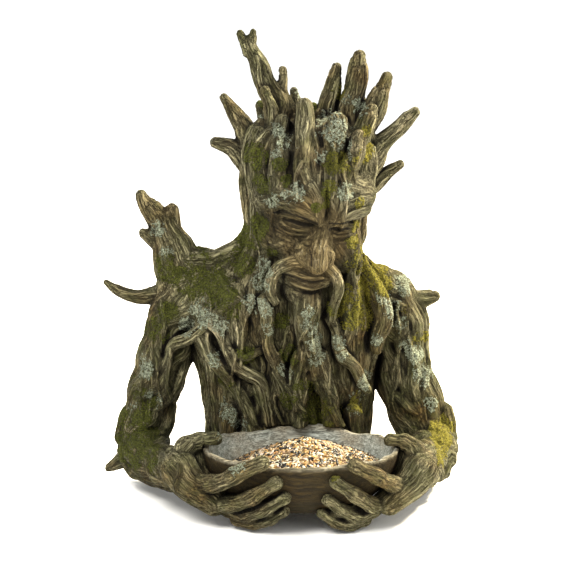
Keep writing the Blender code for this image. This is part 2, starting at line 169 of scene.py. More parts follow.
def grow(points, blend=3.0, cut=False, wobble=0.0, step=5.0):
    """One strand, or one cut, laid into the block."""
    path = curve_through(points, step, wobble)
    reach = path[:, 3].max() + FAR
    first, last, _ = cells_of(path[:, :3].min(0) - reach, path[:, :3].max(0) + reach)
    near = np.full(last - first, FAR, np.float32)
    whose = np.zeros(last - first, np.int32)
    number = 0 if cut else remember(path)
    for i, (p, q) in enumerate(zip(path, path[1:])):
        reach = max(p[3], q[3]) + FAR
        low, high, (x, y, z) = cells_of(np.minimum(p, q)[:3] - reach, np.maximum(p, q)[:3] + reach)
        part = tuple(slice(a - o, b - o) for a, b, o in zip(low, high, first))
        run = (q - p).astype(np.float32)
        x, y, z = x - np.float32(p[0]), y - np.float32(p[1]), z - np.float32(p[2])
        along = (x * run[0] + y * run[1] + z * run[2]) / max(float(run[:3] @ run[:3]), 1e-6)
        along = np.clip(along, 0.0, 1.0)
        away = (x - along * run[0])**2 + (y - along * run[1])**2 + (z - along * run[2])**2
        away = np.sqrt(away) - (np.float32(p[3]) + along * run[3])
        closer = away < near[part]
        np.copyto(near[part], away, where=closer)
        np.copyto(whose[part], number + i, where=closer)
    blend_in(first, last, near, whose, blend, cut)


def mass(levels, swell, blend=8.0):
    """An upright oval form: the ellipse of each height, widened by `swell`, with the distance
    k0*(k0-1)/k1, where k0 is the scaled radius and k1 its gradient's length."""
    table = np.array(levels, float)
    low = np.array((table[:, 0] - table[:, 3], table[:, 1] - table[:, 4], table[:, 2])).min(1) - FAR
    high = np.array((table[:, 0] + table[:, 3], table[:, 1] + table[:, 4], table[:, 2])).max(1) + FAR
    first, last, (x, y, z) = cells_of(low, high)
    cx, cy, w, d = (np.interp(z, table[:, 2], table[:, k]).astype(np.float32) for k in (0, 1, 3, 4))
    x, y, w, d = x - cx, y - cy, np.maximum(w + swell, 2.0), np.maximum(d + swell, 2.0)
    scaled = np.sqrt((x / w)**2 + (y / d)**2)
    slope = np.maximum(np.sqrt((x / w**2)**2 + (y / d**2)**2), 1e-4)
    near = np.where(scaled < 0.05, -np.minimum(w, d), scaled * (scaled - 1) / slope)
    near = np.maximum(near, np.maximum(z - table[-1, 2], table[0, 2] - z)).astype(np.float32)
    number = remember(np.array([(*table[0, :3], 50), (*table[-1, :3], 50)]))
    blend_in(first, last, near, np.full(near.shape, number, np.int32), blend)


straight = curve_through(((0, 0, 0, 5), (0, 0, 50, 5)))
print("a strand 50 long has", len(straight) - 1, "pieces")

# %% [markdown]
# ## Branches with ribs
# A broken branch is not a smooth cone. Its outside is a bundle of ribs that twist a little. Bump
# in the material could draw them, but not at the outline, where they show most. So a branch is a
# thinner core, with strands wound round it at even angles.

# %% Ribbed branches


def ribbed(points, ribs=6, share=0.36, twist=0.5, blend=2.5, wobble=0.5, core=0.86):
    """Core of `core` times the radius, and ribs of `share` times it whose centres stand at
    radius minus rib radius, at turn = 2*pi*i/ribs + twist*length/60."""
    path = curve_through(points, 7.0, wobble)
    slim = path.copy()
    slim[:, 3] *= core
    grow(slim, 4.0)
    run = np.gradient(path[:, :3], axis=0)
    run /= np.linalg.norm(run, axis=1)[:, None]
    so_far = np.append(0, np.cumsum(np.linalg.norm(np.diff(path[:, :3], axis=0), axis=1)))
    side = np.cross(run, (0.2, 1.0, 0.1))
    side /= np.linalg.norm(side, axis=1)[:, None]
    up = np.cross(run, side)
    for i in range(ribs):
        width = share * rng.uniform(0.75, 1.25)
        turn = 2 * np.pi * (i + rng.uniform(-0.25, 0.25)) / ribs + twist * so_far / 60
        turn += 0.25 * np.sin(so_far / 19 + rng.uniform(0, 6.28))
        lift = path[:, 3] * (1 - width * rng.uniform(0.7, 0.95))
        place = path[:, :3] + lift[:, None] * (side * np.cos(turn)[:, None] + up * np.sin(turn)[:, None])
        stop = len(path) - int(rng.integers(0, 1 + len(path) // 5))
        grow(np.column_stack([place, path[:, 3] * width])[:max(stop, 3)], blend, wobble=0.6)


def down_mass(levels, angle, top, bottom, radius, sway=5.0, lift=0.0, blend=4.0, wobble=0.7):
    """A strand that hugs an oval mass: its angle is angle + sway*sin(z/23 + angle)."""
    table = np.array(levels, float)
    z = np.linspace(top, bottom, max(4, int(abs(top - bottom) / 22)))
    x, y, w, d = (np.interp(z, table[:, 2], table[:, k]) for k in (0, 1, 3, 4))
    turn = np.radians(angle + sway * np.sin(z / 23 + angle))
    x, y = x + (w + lift) * np.cos(turn), y + (d + lift) * np.sin(turn)
    grow(np.column_stack([x, y, z, z * 0 + radius]), blend, wobble=wobble)


print("helpers ready: ribbed and down_mass")

# %% [markdown]
# ## Trunk and head
# Two upright oval masses carry everything. Thick strands run down them all round, and thinner
# ones lie between, so no smooth patch is left: old root wood has a rope-like skin.

# %% Trunk, head and their strands
# Oval levels (x, y, z, half width, half depth) from below
TRUNK = (
    (0, 0, -12, 98, 58), (0, 0, 60, 98, 58), (0, -2, 140, 100, 60), (0, -2, 195, 114, 62),
    (-2, 0, 235, 136, 60), (0, 4, 262, 138, 52), (4, 6, 284, 96, 44), (14, 4, 310, 60, 50),
)
HEAD = (
    (18, -18, 250, 56, 50), (22, -22, 285, 58, 56), (26, -20, 320, 58, 62), (29, -18, 355, 59, 66),
    (28, -18, 390, 68, 72), (27, -16, 420, 75, 75), (27, -12, 446, 74, 66), (28, -6, 462, 62, 52),
    (29, -2, 473, 42, 34), (29, -2, 479, 20, 16), (29, -2, 481, 4, 4),
)
mass(TRUNK, 4.0)
mass(HEAD, 1.0)
for i in range(17):
    down_mass(TRUNK, -172 + 10.2 * i, 236 - 9 * (i % 3), -6, 6.5 + 1.6 * (i * 7 % 3), lift=1.5)
for i in range(9):
    down_mass(TRUNK, 14 + 19 * i, 250 - 8 * (i % 2), -6, 10.0)
for i in range(16):
    down_mass(
        TRUNK, rng.uniform(0, 360), rng.uniform(120, 240), rng.uniform(-6, 90), rng.uniform(3.2, 5.0),
        sway=9.0, lift=5.0, blend=2.0,
    )
for i in range(9):
    down_mass(HEAD, 12 + 19.5 * i, 462 + 5 * (i % 2), 292, 10.0, lift=2.0)
for i in range(4):
    down_mass(HEAD, -184 + 13 * i, 458, 300, 9.0, lift=3.0)
    down_mass(HEAD, 1 - 12 * i, 456, 308, 8.0, lift=3.0)
for i in range(11):
    down_mass(HEAD, -158 + 12.5 * i, 472, 398 + 3 * abs(i - 5), 5.0 + 1.5 * (i % 2), 4.0, lift=1.0)
for i in range(22):
    down_mass(
        HEAD, rng.uniform(-5, 185), rng.uniform(400, 465), rng.uniform(280, 360), rng.uniform(3.0, 5.0),
        sway=7.0, lift=6.0, blend=2.0,
    )
print("strand pieces after the masses:", len(threads))

# %% [markdown]
# ## Crown
# The branches of the crown are broken off, each with its own lean. Growing them at random would
# be shorter, but the outline against the sky is what one knows the figure by, so each has its own
# points. They start deep in the head so that their ribs run out of it like hair.

# %% Crown of broken branches
CROWN = (
    ((-4, -5, 445, 22), (-12, -2, 480, 19), (-22, 0, 508, 15), (-36, 4, 542, 11), (-50, 8, 566, 9)),
    ((-36, 5, 425, 16), (-60, 8, 470, 11), (-81, 12, 498, 7)),
    ((-42, 0, 405, 16), (-70, 4, 436, 11), (-92, 8, 444, 7)),
    ((50, 5, 462, 16), (54, 8, 505, 12), (60, 10, 536, 8)),
    ((78, 0, 460, 17), (84, 4, 515, 13), (88, 6, 552, 9)),
    ((84, -10, 445, 18), (110, -4, 495, 12), (123, 0, 524, 9)),
    ((82, -42, 425, 15), (93, -32, 468, 12), (104, -26, 488, 10)),
    ((88, -18, 412, 20), (129, -10, 456, 12), (158, -6, 483, 7)),
    ((86, 0, 374, 16), (120, 0, 402, 9), (141, 0, 417, 6)),
)
CROWN_TWIGS = (
    ((-49, 8, 556, 8), (-60, 8, 579, 5)), ((-47, 8, 556, 7), (-44, 8, 581, 5)),
    ((-7, -8, 480, 10), (-7, -6, 535, 5)), ((-13, -24, 465, 12), (-29, -20, 512, 7)),
    ((-4, -70, 388, 11), (-15, -54, 426, 10), (-22, -42, 448, 8)),
    ((-30, -42, 388, 10), (-37, -30, 419, 9), (-41, -24, 433, 7)),
    ((46, -62, 446, 9), (50, -76, 412, 9), (46, -78, 390, 6)),
)
FOREHEAD_ROOTS = (
    ((20, -46, 496, 10), (20, -58, 466, 13), (23, -82, 432, 17), (27, -90, 404, 17), (27, -94, 384, 13)),
    ((-8, -48, 478, 9), (-12, -66, 448, 10), (-12, -83, 420, 11), (-8, -90, 396, 12)),
    ((-24, -42, 452, 9), (-30, -54, 424, 11), (-28, -68, 398, 11), (-20, -76, 380, 10)),
    ((86, -68, 462, 9), (80, -80, 437, 12), (68, -90, 412, 12), (58, -94, 392, 9)),
    ((60, -52, 478, 12), (58, -70, 448, 13), (54, -82, 420, 11), (50, -88, 400, 8)),
    ((96, -38, 440, 12), (98, -50, 412, 12), (92, -62, 388, 12)),
)
for branch in CROWN:
    ribbed(branch, 6, 0.40, 0.4)
for root in FOREHEAD_ROOTS:
    ribbed(root, 6, 0.36, 0.2, core=0.9)
for twig in CROWN_TWIGS:
    ribbed(twig, 5, 0.42, 0.2)
# Short stubs all over the top of the head, then four taller ones behind
for i in range(26):
    turn, out = rng.uniform(0, 2 * np.pi), rng.uniform(0.1, 0.85)
    east, north = math.cos(turn), math.sin(turn)
    x, y = 29 + 62 * out * east, -2 + 48 * out * north
    lean = rng.uniform(2, 9)
    top = 486 - 22 * out + rng.uniform(-4, 10)
    grow([
        (x - 8 * east, y - 8 * north, 450 - 18 * out, 9),
        (x, y, 466 - 16 * out, 7.5),
        (x + lean * east, y + lean * north, top, rng.uniform(3.5, 5.5)),
    ], 2.0, wobble=1.0)
for x, lean, top in ((-20, -14, 492), (12, -4, 508), (44, 6, 496), (76, 16, 500)):
    ribbed(((x, 34, 440, 14), (x + lean / 2, 42, 474, 10), (x + lean, 46, top - 6, 7)), 5)
print("strand pieces with the crown:", len(threads))

# %% [markdown]
# ## Shoulders, arms and side branches
# Arms are thick bundles. The core is thinner than on a branch and has more ribs, so deep
# furrows run from the shoulder to the wrist.

# %% Shoulders, arms, side branches
for side in (-1, 1):
    grow([(14 + side * 44, 0, 300, 22), (side * 92, 4, 266, 22), (side * 132, 6, 255, 25)], 6.0)
LEFT_ARM = (
    (-116, 4, 258, 32), (-146, 6, 212, 34), (-162, 8, 150, 33), (-181, 8, 90, 33), (-190, 0, 48, 34),
)
RIGHT_ARM = (
    (112, 4, 258, 32), (136, 6, 212, 33), (146, 8, 150, 33), (164, 8, 90, 32), (183, 0, 50, 34),
)
ribbed(LEFT_ARM, 13, 0.27, 0.5, core=0.88, wobble=0.25)
ribbed(RIGHT_ARM, 13, 0.27, -0.5, core=0.88, wobble=0.25)
ribbed(((-118, 0, 206, 22), (-106, 0, 165, 14), (-100, 0, 110, 11)), 5)
ribbed(((112, 0, 206, 20), (104, 0, 165, 12), (99, 0, 110, 10)), 5)
SIDE_BRANCHES = (
    ((-118, 10, 262, 34), (-144, 14, 300, 24), (-160, 16, 334, 18), (-176, 18, 356, 13),
     (-185, 20, 374, 9)),
    ((-146, 15, 312, 15), (-148, 16, 342, 12), (-148, 16, 358, 8)),
    ((-158, 16, 330, 13), (-166, 17, 354, 10), (-172, 18, 366, 7)),
    ((-162, 14, 316, 12), (-184, 10, 328, 7)),
    ((-160, 5, 250, 13), (-189, 2, 244, 9), (-214, 0, 254, 7), (-231, 0, 265, 5)),
    ((150, 5, 240, 16), (172, 5, 243, 11), (186, 5, 247, 8)),
    ((-200, 8, 40, 16), (-220, 10, 24, 10), (-234, 10, 16, 6)),
    ((196, 4, 40, 18), (204, 2, 74, 15), (200, 4, 96, 12)),
)
for branch in SIDE_BRANCHES:
    ribbed(branch, 6, 0.38)
for side in (-1, 1):
    for i in range(3):
        turn = math.radians(-50 + 40 * i)
        x, y = side * 24 * math.cos(turn), 22 * math.sin(turn)
        grow([(side * 130 + x, 4 + y, 258, 10), (side * 144 + x * 1.1, 8 + y, 205, 10),
              (side * 154 + x * 1.1, 8 + y, 140, 10), (side * 180 + x, 4 + y, 60, 10)], wobble=1.0)
print("strand pieces with the arms:", len(threads))

# %% [markdown]
# ## Hands
# Each finger is a short root with knuckles. Its joints are given round the bowl: degrees, share
# of the bowl's height and the distance from its wall, so that the hands always fit the bowl.

# %% Points beside the bowl


def bowl_share(level):
    """Outer half axes at a share of the height: 0.62 + 0.38*(1 - (1 - level)^2)^0.8."""
    return 0.62 + 0.38 * (1 - (1 - np.clip(level, 0.0, 1.0))**2)**0.8


def by_bowl(angle, level, off, radius):
    """Degrees round the bowl, share of its height, distance off its wall, radius."""
    turn = math.radians(angle)
    share = bowl_share(level)
    return (
        bowl_middle[0] + (bowl_half[0] * share + off) * math.cos(turn),
        bowl_middle[1] + (bowl_half[1] * share + off) * math.sin(turn),
        bowl_foot + BOWL_RISE * level,
        radius,
    )


print("front of the rim:", [round(float(v), 1) for v in by_bowl(-90, 1.0, 0, 5)])

# %% Forearms, palms and fingers
FOREARMS = (
    ((-188, 0, 47, 33), (-174, -50, 45, 29), (-153, -95, 49, 27), by_bowl(187, 0.62, 34, 25)),
    ((186, 0, 50, 34), (183, -50, 50, 29), (172, -98, 55, 26), by_bowl(-8, 0.62, 32, 23)),
)
PALMS = (
    ((187, 0.62, 34, 24), (193, 0.40, 31, 22), (203, 0.10, 28, 16)),
    ((-8, 0.62, 32, 22), (-14, 0.42, 30, 20), (-24, 0.12, 28, 16)),
    ((172, 0.92, 14, 15), (180, 0.42, 14, 15), (196, 0.12, 14, 13)),
    ((8, 0.92, 14, 14), (0, 0.42, 14, 14), (-16, 0.12, 14, 12)),
    ((206, 0.02, 8, 11), (226, 0.06, 5, 10), (246, 0.10, 4, 9)),
    ((-26, 0.02, 8, 11), (-44, 0.04, 5, 10), (-62, 0.08, 4, 9)),
)
FINGERS = (
    ((194, 0.44, 24, 12), (219, 0.60, 14, 11), (237, 0.90, 10, 10.5), (248, 1.08, 5, 9)),
    ((200, 0.20, 28, 12), (212, 0.12, 20, 11), (238, 0.38, 11, 10), (256, 0.74, 6, 8)),
    ((206, 0.00, 24, 11), (220, -0.06, 16, 10.5), (243, 0.15, 12, 9.5), (260, 0.44, 6, 7.5)),
    ((212, -0.18, 16, 9.5), (226, -0.20, 13, 9), (241, -0.12, 10, 8.5), (257, 0.12, 6, 7)),
    ((-12, 0.38, 24, 12), (-28, 0.50, 14, 10.5), (-48, 0.80, 10, 10), (-60, 1.02, 5, 8.5)),
    ((-20, 0.16, 24, 12), (-34, 0.12, 18, 10.5), (-56, 0.42, 11, 9.5), (-71, 0.74, 6, 7.5)),
    ((-26, -0.02, 22, 11), (-40, -0.10, 16, 10), (-56, 0.06, 11, 9), (-74, 0.38, 6, 7)),
    ((-32, -0.20, 15, 9), (-46, -0.24, 12, 8.5), (-60, -0.16, 10, 8), (-74, 0.06, 6, 6.5)),
    ((184, 0.78, 30, 14), (182, 0.98, 22, 13), (178, 1.07, 8, 11.5), (180, 1.14, -14, 9)),
    ((-6, 0.76, 28, 13), (-3, 0.94, 20, 12), (-2, 1.08, 9, 10.5), (-1, 1.11, -10, 8.5)),
)
for forearm in FOREARMS:
    ribbed(forearm, 11, 0.28, 0.6, core=0.88, wobble=0.2)
for palm in PALMS:
    grow([by_bowl(*joint) for joint in palm], 5.0)


def finger(joints):
    """A root finger: radius swells by a tenth at each knuckle and narrows between them."""
    path = curve_through([by_bowl(*joint) for joint in joints], 3.0)
    share = np.linspace(0, 1, len(path)) * (len(joints) - 1)
    path[:, 3] *= 0.93 + 0.13 * np.cos(np.pi * share)**4
    grow(path, 2.0)


for joints in FINGERS:
    finger(joints)
print("strand pieces with the hands:", len(threads))

# %% [markdown]
# ## Beard and chest roots
# The beard hangs from the lower lip in a thick column that forks above the bowl, and long roots
# run from the cheeks and the shoulders across the chest. They could be laid on the finished skin
# as tubes, but real ones melt into the wood, so they go into the block on beds of their own.

# %% Beard and chest roots
# Beds of wood under the beard, so that no root hangs in the air
for x, y in ((24, -52), (-18, -46), (64, -46)):
    bed = ((x, y, 262, 30), (x + 2, y + 4, 222, 33), (x + 4, y + 14, 170, 30), (x + 4, y + 20, 120, 26))
    grow(bed, 6.0)
grow([(-62, -34, 252, 26), (-59, -35, 215, 27), (-54, -35, 170, 27), (-50, -31, 120, 25)], 6.0)
BEARD = (
    ((24, -92, 266, 13), (22, -97, 250, 15), (25, -90, 204, 15), (32, -82, 172, 12), (40, -76, 146, 8)),
    ((20, -84, 190, 13), (14, -78, 138, 11), (14, -70, 88, 11)),
    ((34, -82, 190, 12), (50, -74, 141, 11), (54, -70, 88, 11)),
    ((-28, -78, 262, 9), (-25, -80, 221, 9), (-20, -76, 192, 9), (-4, -74, 159, 8), (3, -72, 118, 7)),
    ((79, -62, 318, 9), (78, -70, 270, 10), (76, -72, 238, 10), (70, -70, 205, 9)),
    ((-27, -56, 305, 12), (-38, -58, 254, 12), (-32, -62, 208, 9)),
    ((-48, 0, 440, 15), (-46, -8, 390, 13), (-44, -12, 340, 13), (-62, -8, 300, 16), (-84, -6, 276, 16)),
    ((-34, -40, 420, 11), (-36, -44, 370, 10), (-40, -42, 325, 11), (-58, -40, 285, 12)),
    ((88, 0, 360, 9), (76, -6, 320, 11), (90, -6, 288, 14), (122, -2, 272, 16)),
    ((-58, -8, 310, 17), (-88, -2, 292, 18), (-122, 6, 286, 20)),
    ((86, -36, 300, 13), (106, -42, 272, 13), (118, -46, 236, 12), (112, -50, 190, 10)),
    ((82, -56, 112, 12), (88, -52, 60, 12)),
    ((-70, -54, 112, 12), (-78, -50, 60, 12)),
)
LOOSE_ROOTS = (
    ((-40, -40, 290, 12), (-66, -52, 250, 10), (-91, -48, 233, 9), (-117, -42, 206, 8),
     (-143, -30, 190, 8), (-158, -22, 160, 6)),
    ((-112, -42, 205, 9), (-91, -58, 177, 9), (-60, -64, 134, 9), (-41, -64, 90, 8)),
    ((-88, -50, 218, 9), (-66, -62, 178, 9), (-35, -68, 148, 9), (-20, -66, 90, 8)),
    ((-60, -50, 268, 8), (-53, -63, 230, 7), (-60, -67, 197, 6)),
    ((-71, -66, 194, 5), (-54, -70, 183, 5), (-34, -70, 191, 5)),
    ((52, -80, 238, 8), (65, -76, 194, 8), (84, -69, 172, 8), (98, -60, 138, 7)),
    ((28, -82, 176, 7), (17, -84, 156, 7), (12, -84, 132, 6), (18, -78, 112, 6)),
    ((38, -82, 178, 7), (48, -80, 150, 7), (56, -76, 118, 7), (70, -70, 90, 6)),
)
for root in BEARD:
    ribbed(root, 6, 0.38, 0.3, core=0.84)
for root in LOOSE_ROOTS:
    grow(root, 1.6, wobble=0.8)
print("strand pieces with the beard:", len(threads))

# %% [markdown]
# ## Face
# The face is the finest part, so it is built as a carver would: first the big planes of skull,
# cheeks and muzzle, then brows, nose, moustache and lips, and last the lids, folds and cuts.
# The last ones are laid on whatever surface the block has there, so none of them can float.

# %% Face planes and forms
FACE_PLANES = (
    ((36, -52, 395, 40), (36, -50, 350, 42), (30, -48, 305, 40), (26, -52, 282, 32)),
    ((-15, -68, 337, 22), (2, -76, 330, 22), (10, -82, 322, 18)),
    ((10, -88, 297, 20), (24, -92, 297, 21), (42, -90, 295, 18)),
    ((12, -86, 273, 17), (23, -84, 265, 18), (26, -80, 252, 18)),
    ((40, -86, 353, 16), (35, -92, 332, 19), (32, -98, 318, 18)),
    ((62, -68, 325, 22), (69, -66, 314, 21)),
    ((-7, -66, 386, 26), (22, -78, 393, 27), (58, -78, 393, 27), (83, -62, 386, 24)),
    ((4, -84, 357, 14), (16, -88, 354, 14)),
    ((46, -92, 412, 9), (47, -95, 388, 9), (45, -96, 368, 7)),
    ((-24, -80, 386, 12), (-4, -91, 390, 15), (14, -97, 386, 14), (30, -100, 375, 10)),
    ((62, -97, 380, 10), (76, -91, 386, 12), (90, -79, 386, 11)),
    ((-22, -78, 378, 9), (-16, -82, 366, 9), (-8, -84, 358, 8)),
    ((61, -78, 346, 12.5), (69, -76, 347, 12.5)),
)
FACE_FORMS = (
    ((-32, -74, 377, 8), (-19, -86, 382, 10), (-5, -96, 383, 11), (12, -104, 378, 11),
     (28, -106, 370, 9.5), (39, -104, 363, 8)),
    ((-32, -74, 388, 9), (-16, -88, 396, 10), (2, -98, 395, 11), (18, -104, 389, 11),
     (31, -106, 377, 9)),
    ((23, -98, 411, 8), (31, -104, 401, 8), (37, -108, 388, 8), (37, -108, 373, 8)),
    ((55, -98, 411, 7), (60, -102, 397, 8), (59, -104, 380, 8), (53, -102, 363, 6.5)),
    ((56, -100, 361, 7), (68, -98, 367, 9), (81, -90, 371, 9.5), (93, -76, 372, 9)),
    ((63, -98, 379, 9), (78, -90, 384, 10), (93, -76, 387, 10)),
    ((-15, -86, 369, 5), (-1, -94, 369, 6.5), (12, -97, 365, 7), (27, -96, 358, 6)),
    ((55, -92, 354, 4.5), (64, -92, 354, 5.5), (76, -86, 355, 5)),
    ((45, -100, 355, 6.5), (41, -108, 342, 8.5), (37, -116, 329, 11.5), (35, -119, 316, 13),
     (35, -118, 311, 12.5)),
    ((26, -110, 333, 7), (18, -110, 328, 10), (19, -111, 321, 10.5), (27, -113, 312, 8.5)),
    ((48, -108, 325, 6.5), (50, -108, 319, 7.5), (46, -110, 310, 7)),
    ((0, -106, 301, 6), (12, -110, 297, 6.5), (25, -111, 294, 6.5), (40, -108, 294, 5.5)),
    ((6, -102, 287, 4.5), (18, -106, 284, 5.5), (30, -106, 282, 5.5), (40, -102, 284, 4.5)),
)
MOUSTACHE = (
    ((18, -109, 318, 5.2), (4, -110, 316, 4.9), (-10, -108, 310, 4.6), (-21, -103, 298, 4.3),
     (-25, -100, 283, 4), (-23, -97, 269, 3.7), (-16, -93, 258, 3.4)),
    ((18, -112, 314, 4.8), (5, -113, 313, 4.5), (-8, -111, 307, 4.2), (-18, -106, 296, 4),
     (-21, -103, 283, 3.7), (-20, -100, 271, 3.4), (-14, -96, 260, 3.1)),
    ((18, -112, 310, 4.4), (6, -113, 309, 4.1), (-6, -111, 304, 3.9), (-15, -106, 294, 3.6),
     (-18, -103, 283, 3.4), (-17, -100, 272, 3.1), (-12, -96, 261, 2.9)),
    ((19, -109, 306, 3.4), (6, -110, 305, 3.2), (-4, -108, 301, 3), (-12, -103, 292, 2.8),
     (-16, -100, 282, 2.6), (-15, -97, 272, 2.4), (-10, -93, 262, 2.2)),
    ((47, -109, 311, 4.6), (54, -109, 305, 4.4), (62, -105, 294, 4.2), (65, -101, 279, 4),
     (62, -97, 265, 3.8), (58, -94, 251, 3.6), (55, -92, 236, 3.5)),
    ((44, -112, 309, 4.4), (51, -112, 302, 4.2), (58, -108, 293, 4), (61, -104, 279, 3.9),
     (59, -100, 266, 3.7), (54, -97, 253, 3.5), (52, -95, 237, 3.3)),
    ((42, -109, 305, 3.2), (49, -109, 299, 3.1), (55, -105, 291, 2.9), (58, -101, 279, 2.8),
     (56, -97, 267, 2.7), (51, -94, 253, 2.5), (49, -92, 237, 2.4)),
)
for plane in FACE_PLANES:
    grow(plane, 9.0)
for form in FACE_FORMS:
    grow(form, 4.0, step=3.0)
for hair in MOUSTACHE:
    grow(hair, 1.8, step=3.0)
print("strand pieces with the face:", len(threads))

# %% Strokes laid on the front
BARE_DEPTH = LOW[1] + 5


def front_of(x, z):
    """Depth of the first wood met from in front, at places (x, z); the caller smooths it over
    neighbours.
    """
    i = np.clip(np.rint((x - LOW[0]) / STEP).astype(int), 0, CELLS[0] - 1)
    k = np.clip(np.rint((z - LOW[2]) / STEP).astype(int), 0, CELLS[2] - 1)
    columns = field[i, :, k]
    first = np.argmax(columns < 0, axis=1)
    rows = np.arange(len(x))
    inside, before = columns[rows, first], columns[rows, np.maximum(first - 1, 0)]
    return LOW[1] + STEP * (first - inside / np.minimum(inside - before, -1e-3))


def laid(points, lift, blend=1.5, cut=False, leap=99.0):
    """A stroke of (x, z, radius) whose centre lies lift times its radius in front of the skin. It
    is left out where the front is bare or leaps by more than a given depth."""
    flat = np.array([(x, 0, z, r) for x, z, r in points], float)
    path = curve_through(flat, 3.0)
    depth = front_of(path[:, 0], path[:, 2])
    if depth.min() < BARE_DEPTH or np.abs(np.diff(depth)).max() > leap:
        return
    ends = np.pad(depth, 2, mode="edge")
    path[:, 1] = np.convolve(ends, (0.15, 0.2, 0.3, 0.2, 0.15), "valid") - lift * path[:, 3]
    grow(path, blend, cut, step=3.0)


LIDS_AND_FOLDS = (
    ((-8.5, 360.3, 2.0), (0, 354.5, 2.6), (12.1, 351.0, 2.8), (25.5, 350.6, 2.2)),
    ((-10.9, 352.9, 1.8), (0, 347.1, 2.2), (13.3, 344.2, 2.2), (26.7, 346, 1.8)),
    ((52.3, 343.9, 2.2), (62, 340.2, 2.8), (73.1, 342, 2.4)),
    ((54.8, 336.1, 2.2), (64.6, 332.4, 2.6), (76.9, 335.4, 2.2)),
)
DEEP_CUTS = (
    ((-6.1, 297.2, 1.5), (4.8, 295.5, 2), (14.5, 291.6, 2.4), (26.7, 288.5, 2.4), (41.3, 288.9, 2)),
    ((3.7, 278.9, 1.0), (18.3, 275, 1.4), (32.9, 274.4, 1.3), (41.4, 277.7, 1.0)),
    ((-5.5, 364.5, 1.6), (6.1, 361.4, 2.8), (17, 358.7, 3.0), (30.3, 356.9, 2.2)),
    ((52.3, 352.4, 2), (60.8, 349.8, 2.8), (71.6, 350.6, 1.8)),
    ((-17, 372.2, 1.4), (-3.6, 374.1, 1.6), (10.9, 370.9, 1.8), (25.4, 364.5, 1.8), (36.3, 358.9, 1.8)),
    ((54.6, 356.6, 1.4), (66.7, 359.1, 1.5), (79.1, 360.8, 1.4)),
    ((13.4, 329, 1.6), (3.6, 322.8, 2.2), (-7.3, 316.2, 2.4), (-17.1, 310.5, 2.2), (-24.5, 301, 1.8)),
    ((41, 413.4, 1.2), (45.8, 399.3, 1.5), (48.3, 381.4, 1.5), (44.7, 363, 1.4)),
)
FINE_CUTS = (
    ((-9.7, 355.4, 1.2), (1.2, 348.9, 1.5), (13.3, 346.3, 1.5), (25.5, 347, 1.2)),
    ((-10.9, 348, 1.2), (1.2, 341.2, 1.5), (14.6, 338.9, 1.4), (24.3, 340.1, 1)),
    ((53.5, 339.6, 1.2), (63.3, 336.3, 1.4), (74.3, 338.3, 1.1)),
    ((-33, 370.2, 0.8), (-25.6, 366.5, 1.2), (-18.3, 366, 1)),
    ((-31.8, 359.6, 0.8), (-24.4, 362.2, 1.2), (-17.1, 364.8, 1)),
    ((-29.3, 351.3, 0.8), (-20.7, 357, 1.1), (-12.2, 362.6, 0.9)),
    ((-22, 328.8, 0.8), (-9.7, 336.5, 1.2), (4.9, 341.6, 1.1), (18.2, 341, 0.8)),
    ((-19.6, 320.1, 0.8), (-6.1, 329.1, 1.2), (8.5, 336, 1), (21.9, 336, 0.8)),
    ((-23.2, 337.5, 0.8), (-13.4, 342.3, 1), (-3.6, 343.1, 0.8)),
    ((-31.8, 348.5, 1), (-26.9, 336.8, 1.4), (-23.2, 322.6, 1.4), (-22, 310.5, 1.2)),
    ((29.1, 346.6, 1), (26.7, 338.4, 1.2), (27.8, 330.5, 1.4), (25.4, 322.7, 1.3)),
    ((39.8, 349.3, 0.7), (36.2, 335.7, 0.9), (33.7, 320.5, 0.8)),
    ((44.7, 349.3, 0.7), (41, 333.3, 0.9), (39.7, 315.6, 0.8)),
    ((-26.8, 385.1, 0.9), (-9.7, 389.8, 1.3), (9.6, 386.6, 1.3), (27.7, 376.3, 1.1)),
    ((-29.2, 393.7, 0.9), (-12.1, 403, 1.3), (7.2, 402.1, 1.3), (24.1, 394.2, 1.2)),
    ((64.1, 373.7, 1), (77.6, 377.2, 1.3), (92.7, 379.8, 1)),
    ((65.2, 387.1, 1), (77.6, 391.6, 1.3), (91.3, 395.8, 1)),
    ((27.7, 404.2, 1), (33.7, 392.1, 1.4), (33.7, 376.6, 1.2)),
    ((26.7, 305, 0.9), (27.9, 299.2, 1)),
)
for fold in LIDS_AND_FOLDS:
    laid(fold, -0.3, 2.0)
for stroke in DEEP_CUTS:
    laid(stroke, 0.1, 1.6, cut=True)
for stroke in FINE_CUTS:
    laid(stroke, 0.2, 1.0, cut=True)
# (how many, x from and to, z from and to, sideways lean)
FINE_ROOTS = (
    (90, -104, 104, 140, 292, 26), (34, -200, -128, 70, 250, 0), (34, 128, 200, 70, 250, 0),
    (26, -34, 96, 420, 480, -6), (16, -48, -20, 330, 440, 4), (14, 76, 96, 300, 400, -4),
)
for count, left, right, low, high, lean in FINE_ROOTS:
    for i in range(count):
        x, z, length = rng.uniform(left, right), rng.uniform(low, high), rng.uniform(30, 80)
        drift, radius = lean * rng.uniform(-1, 1) - 0.12 * (x - 20) * (lean > 0), rng.uniform(1.8, 3.6)
        laid([(x + drift * t + 3 * math.sin(5 * t + i), z - length * t, radius * (1 - 0.4 * t))
              for t in (0, 0.25, 0.5, 0.75, 1.0)], 0.05, 3.0, leap=6.0)
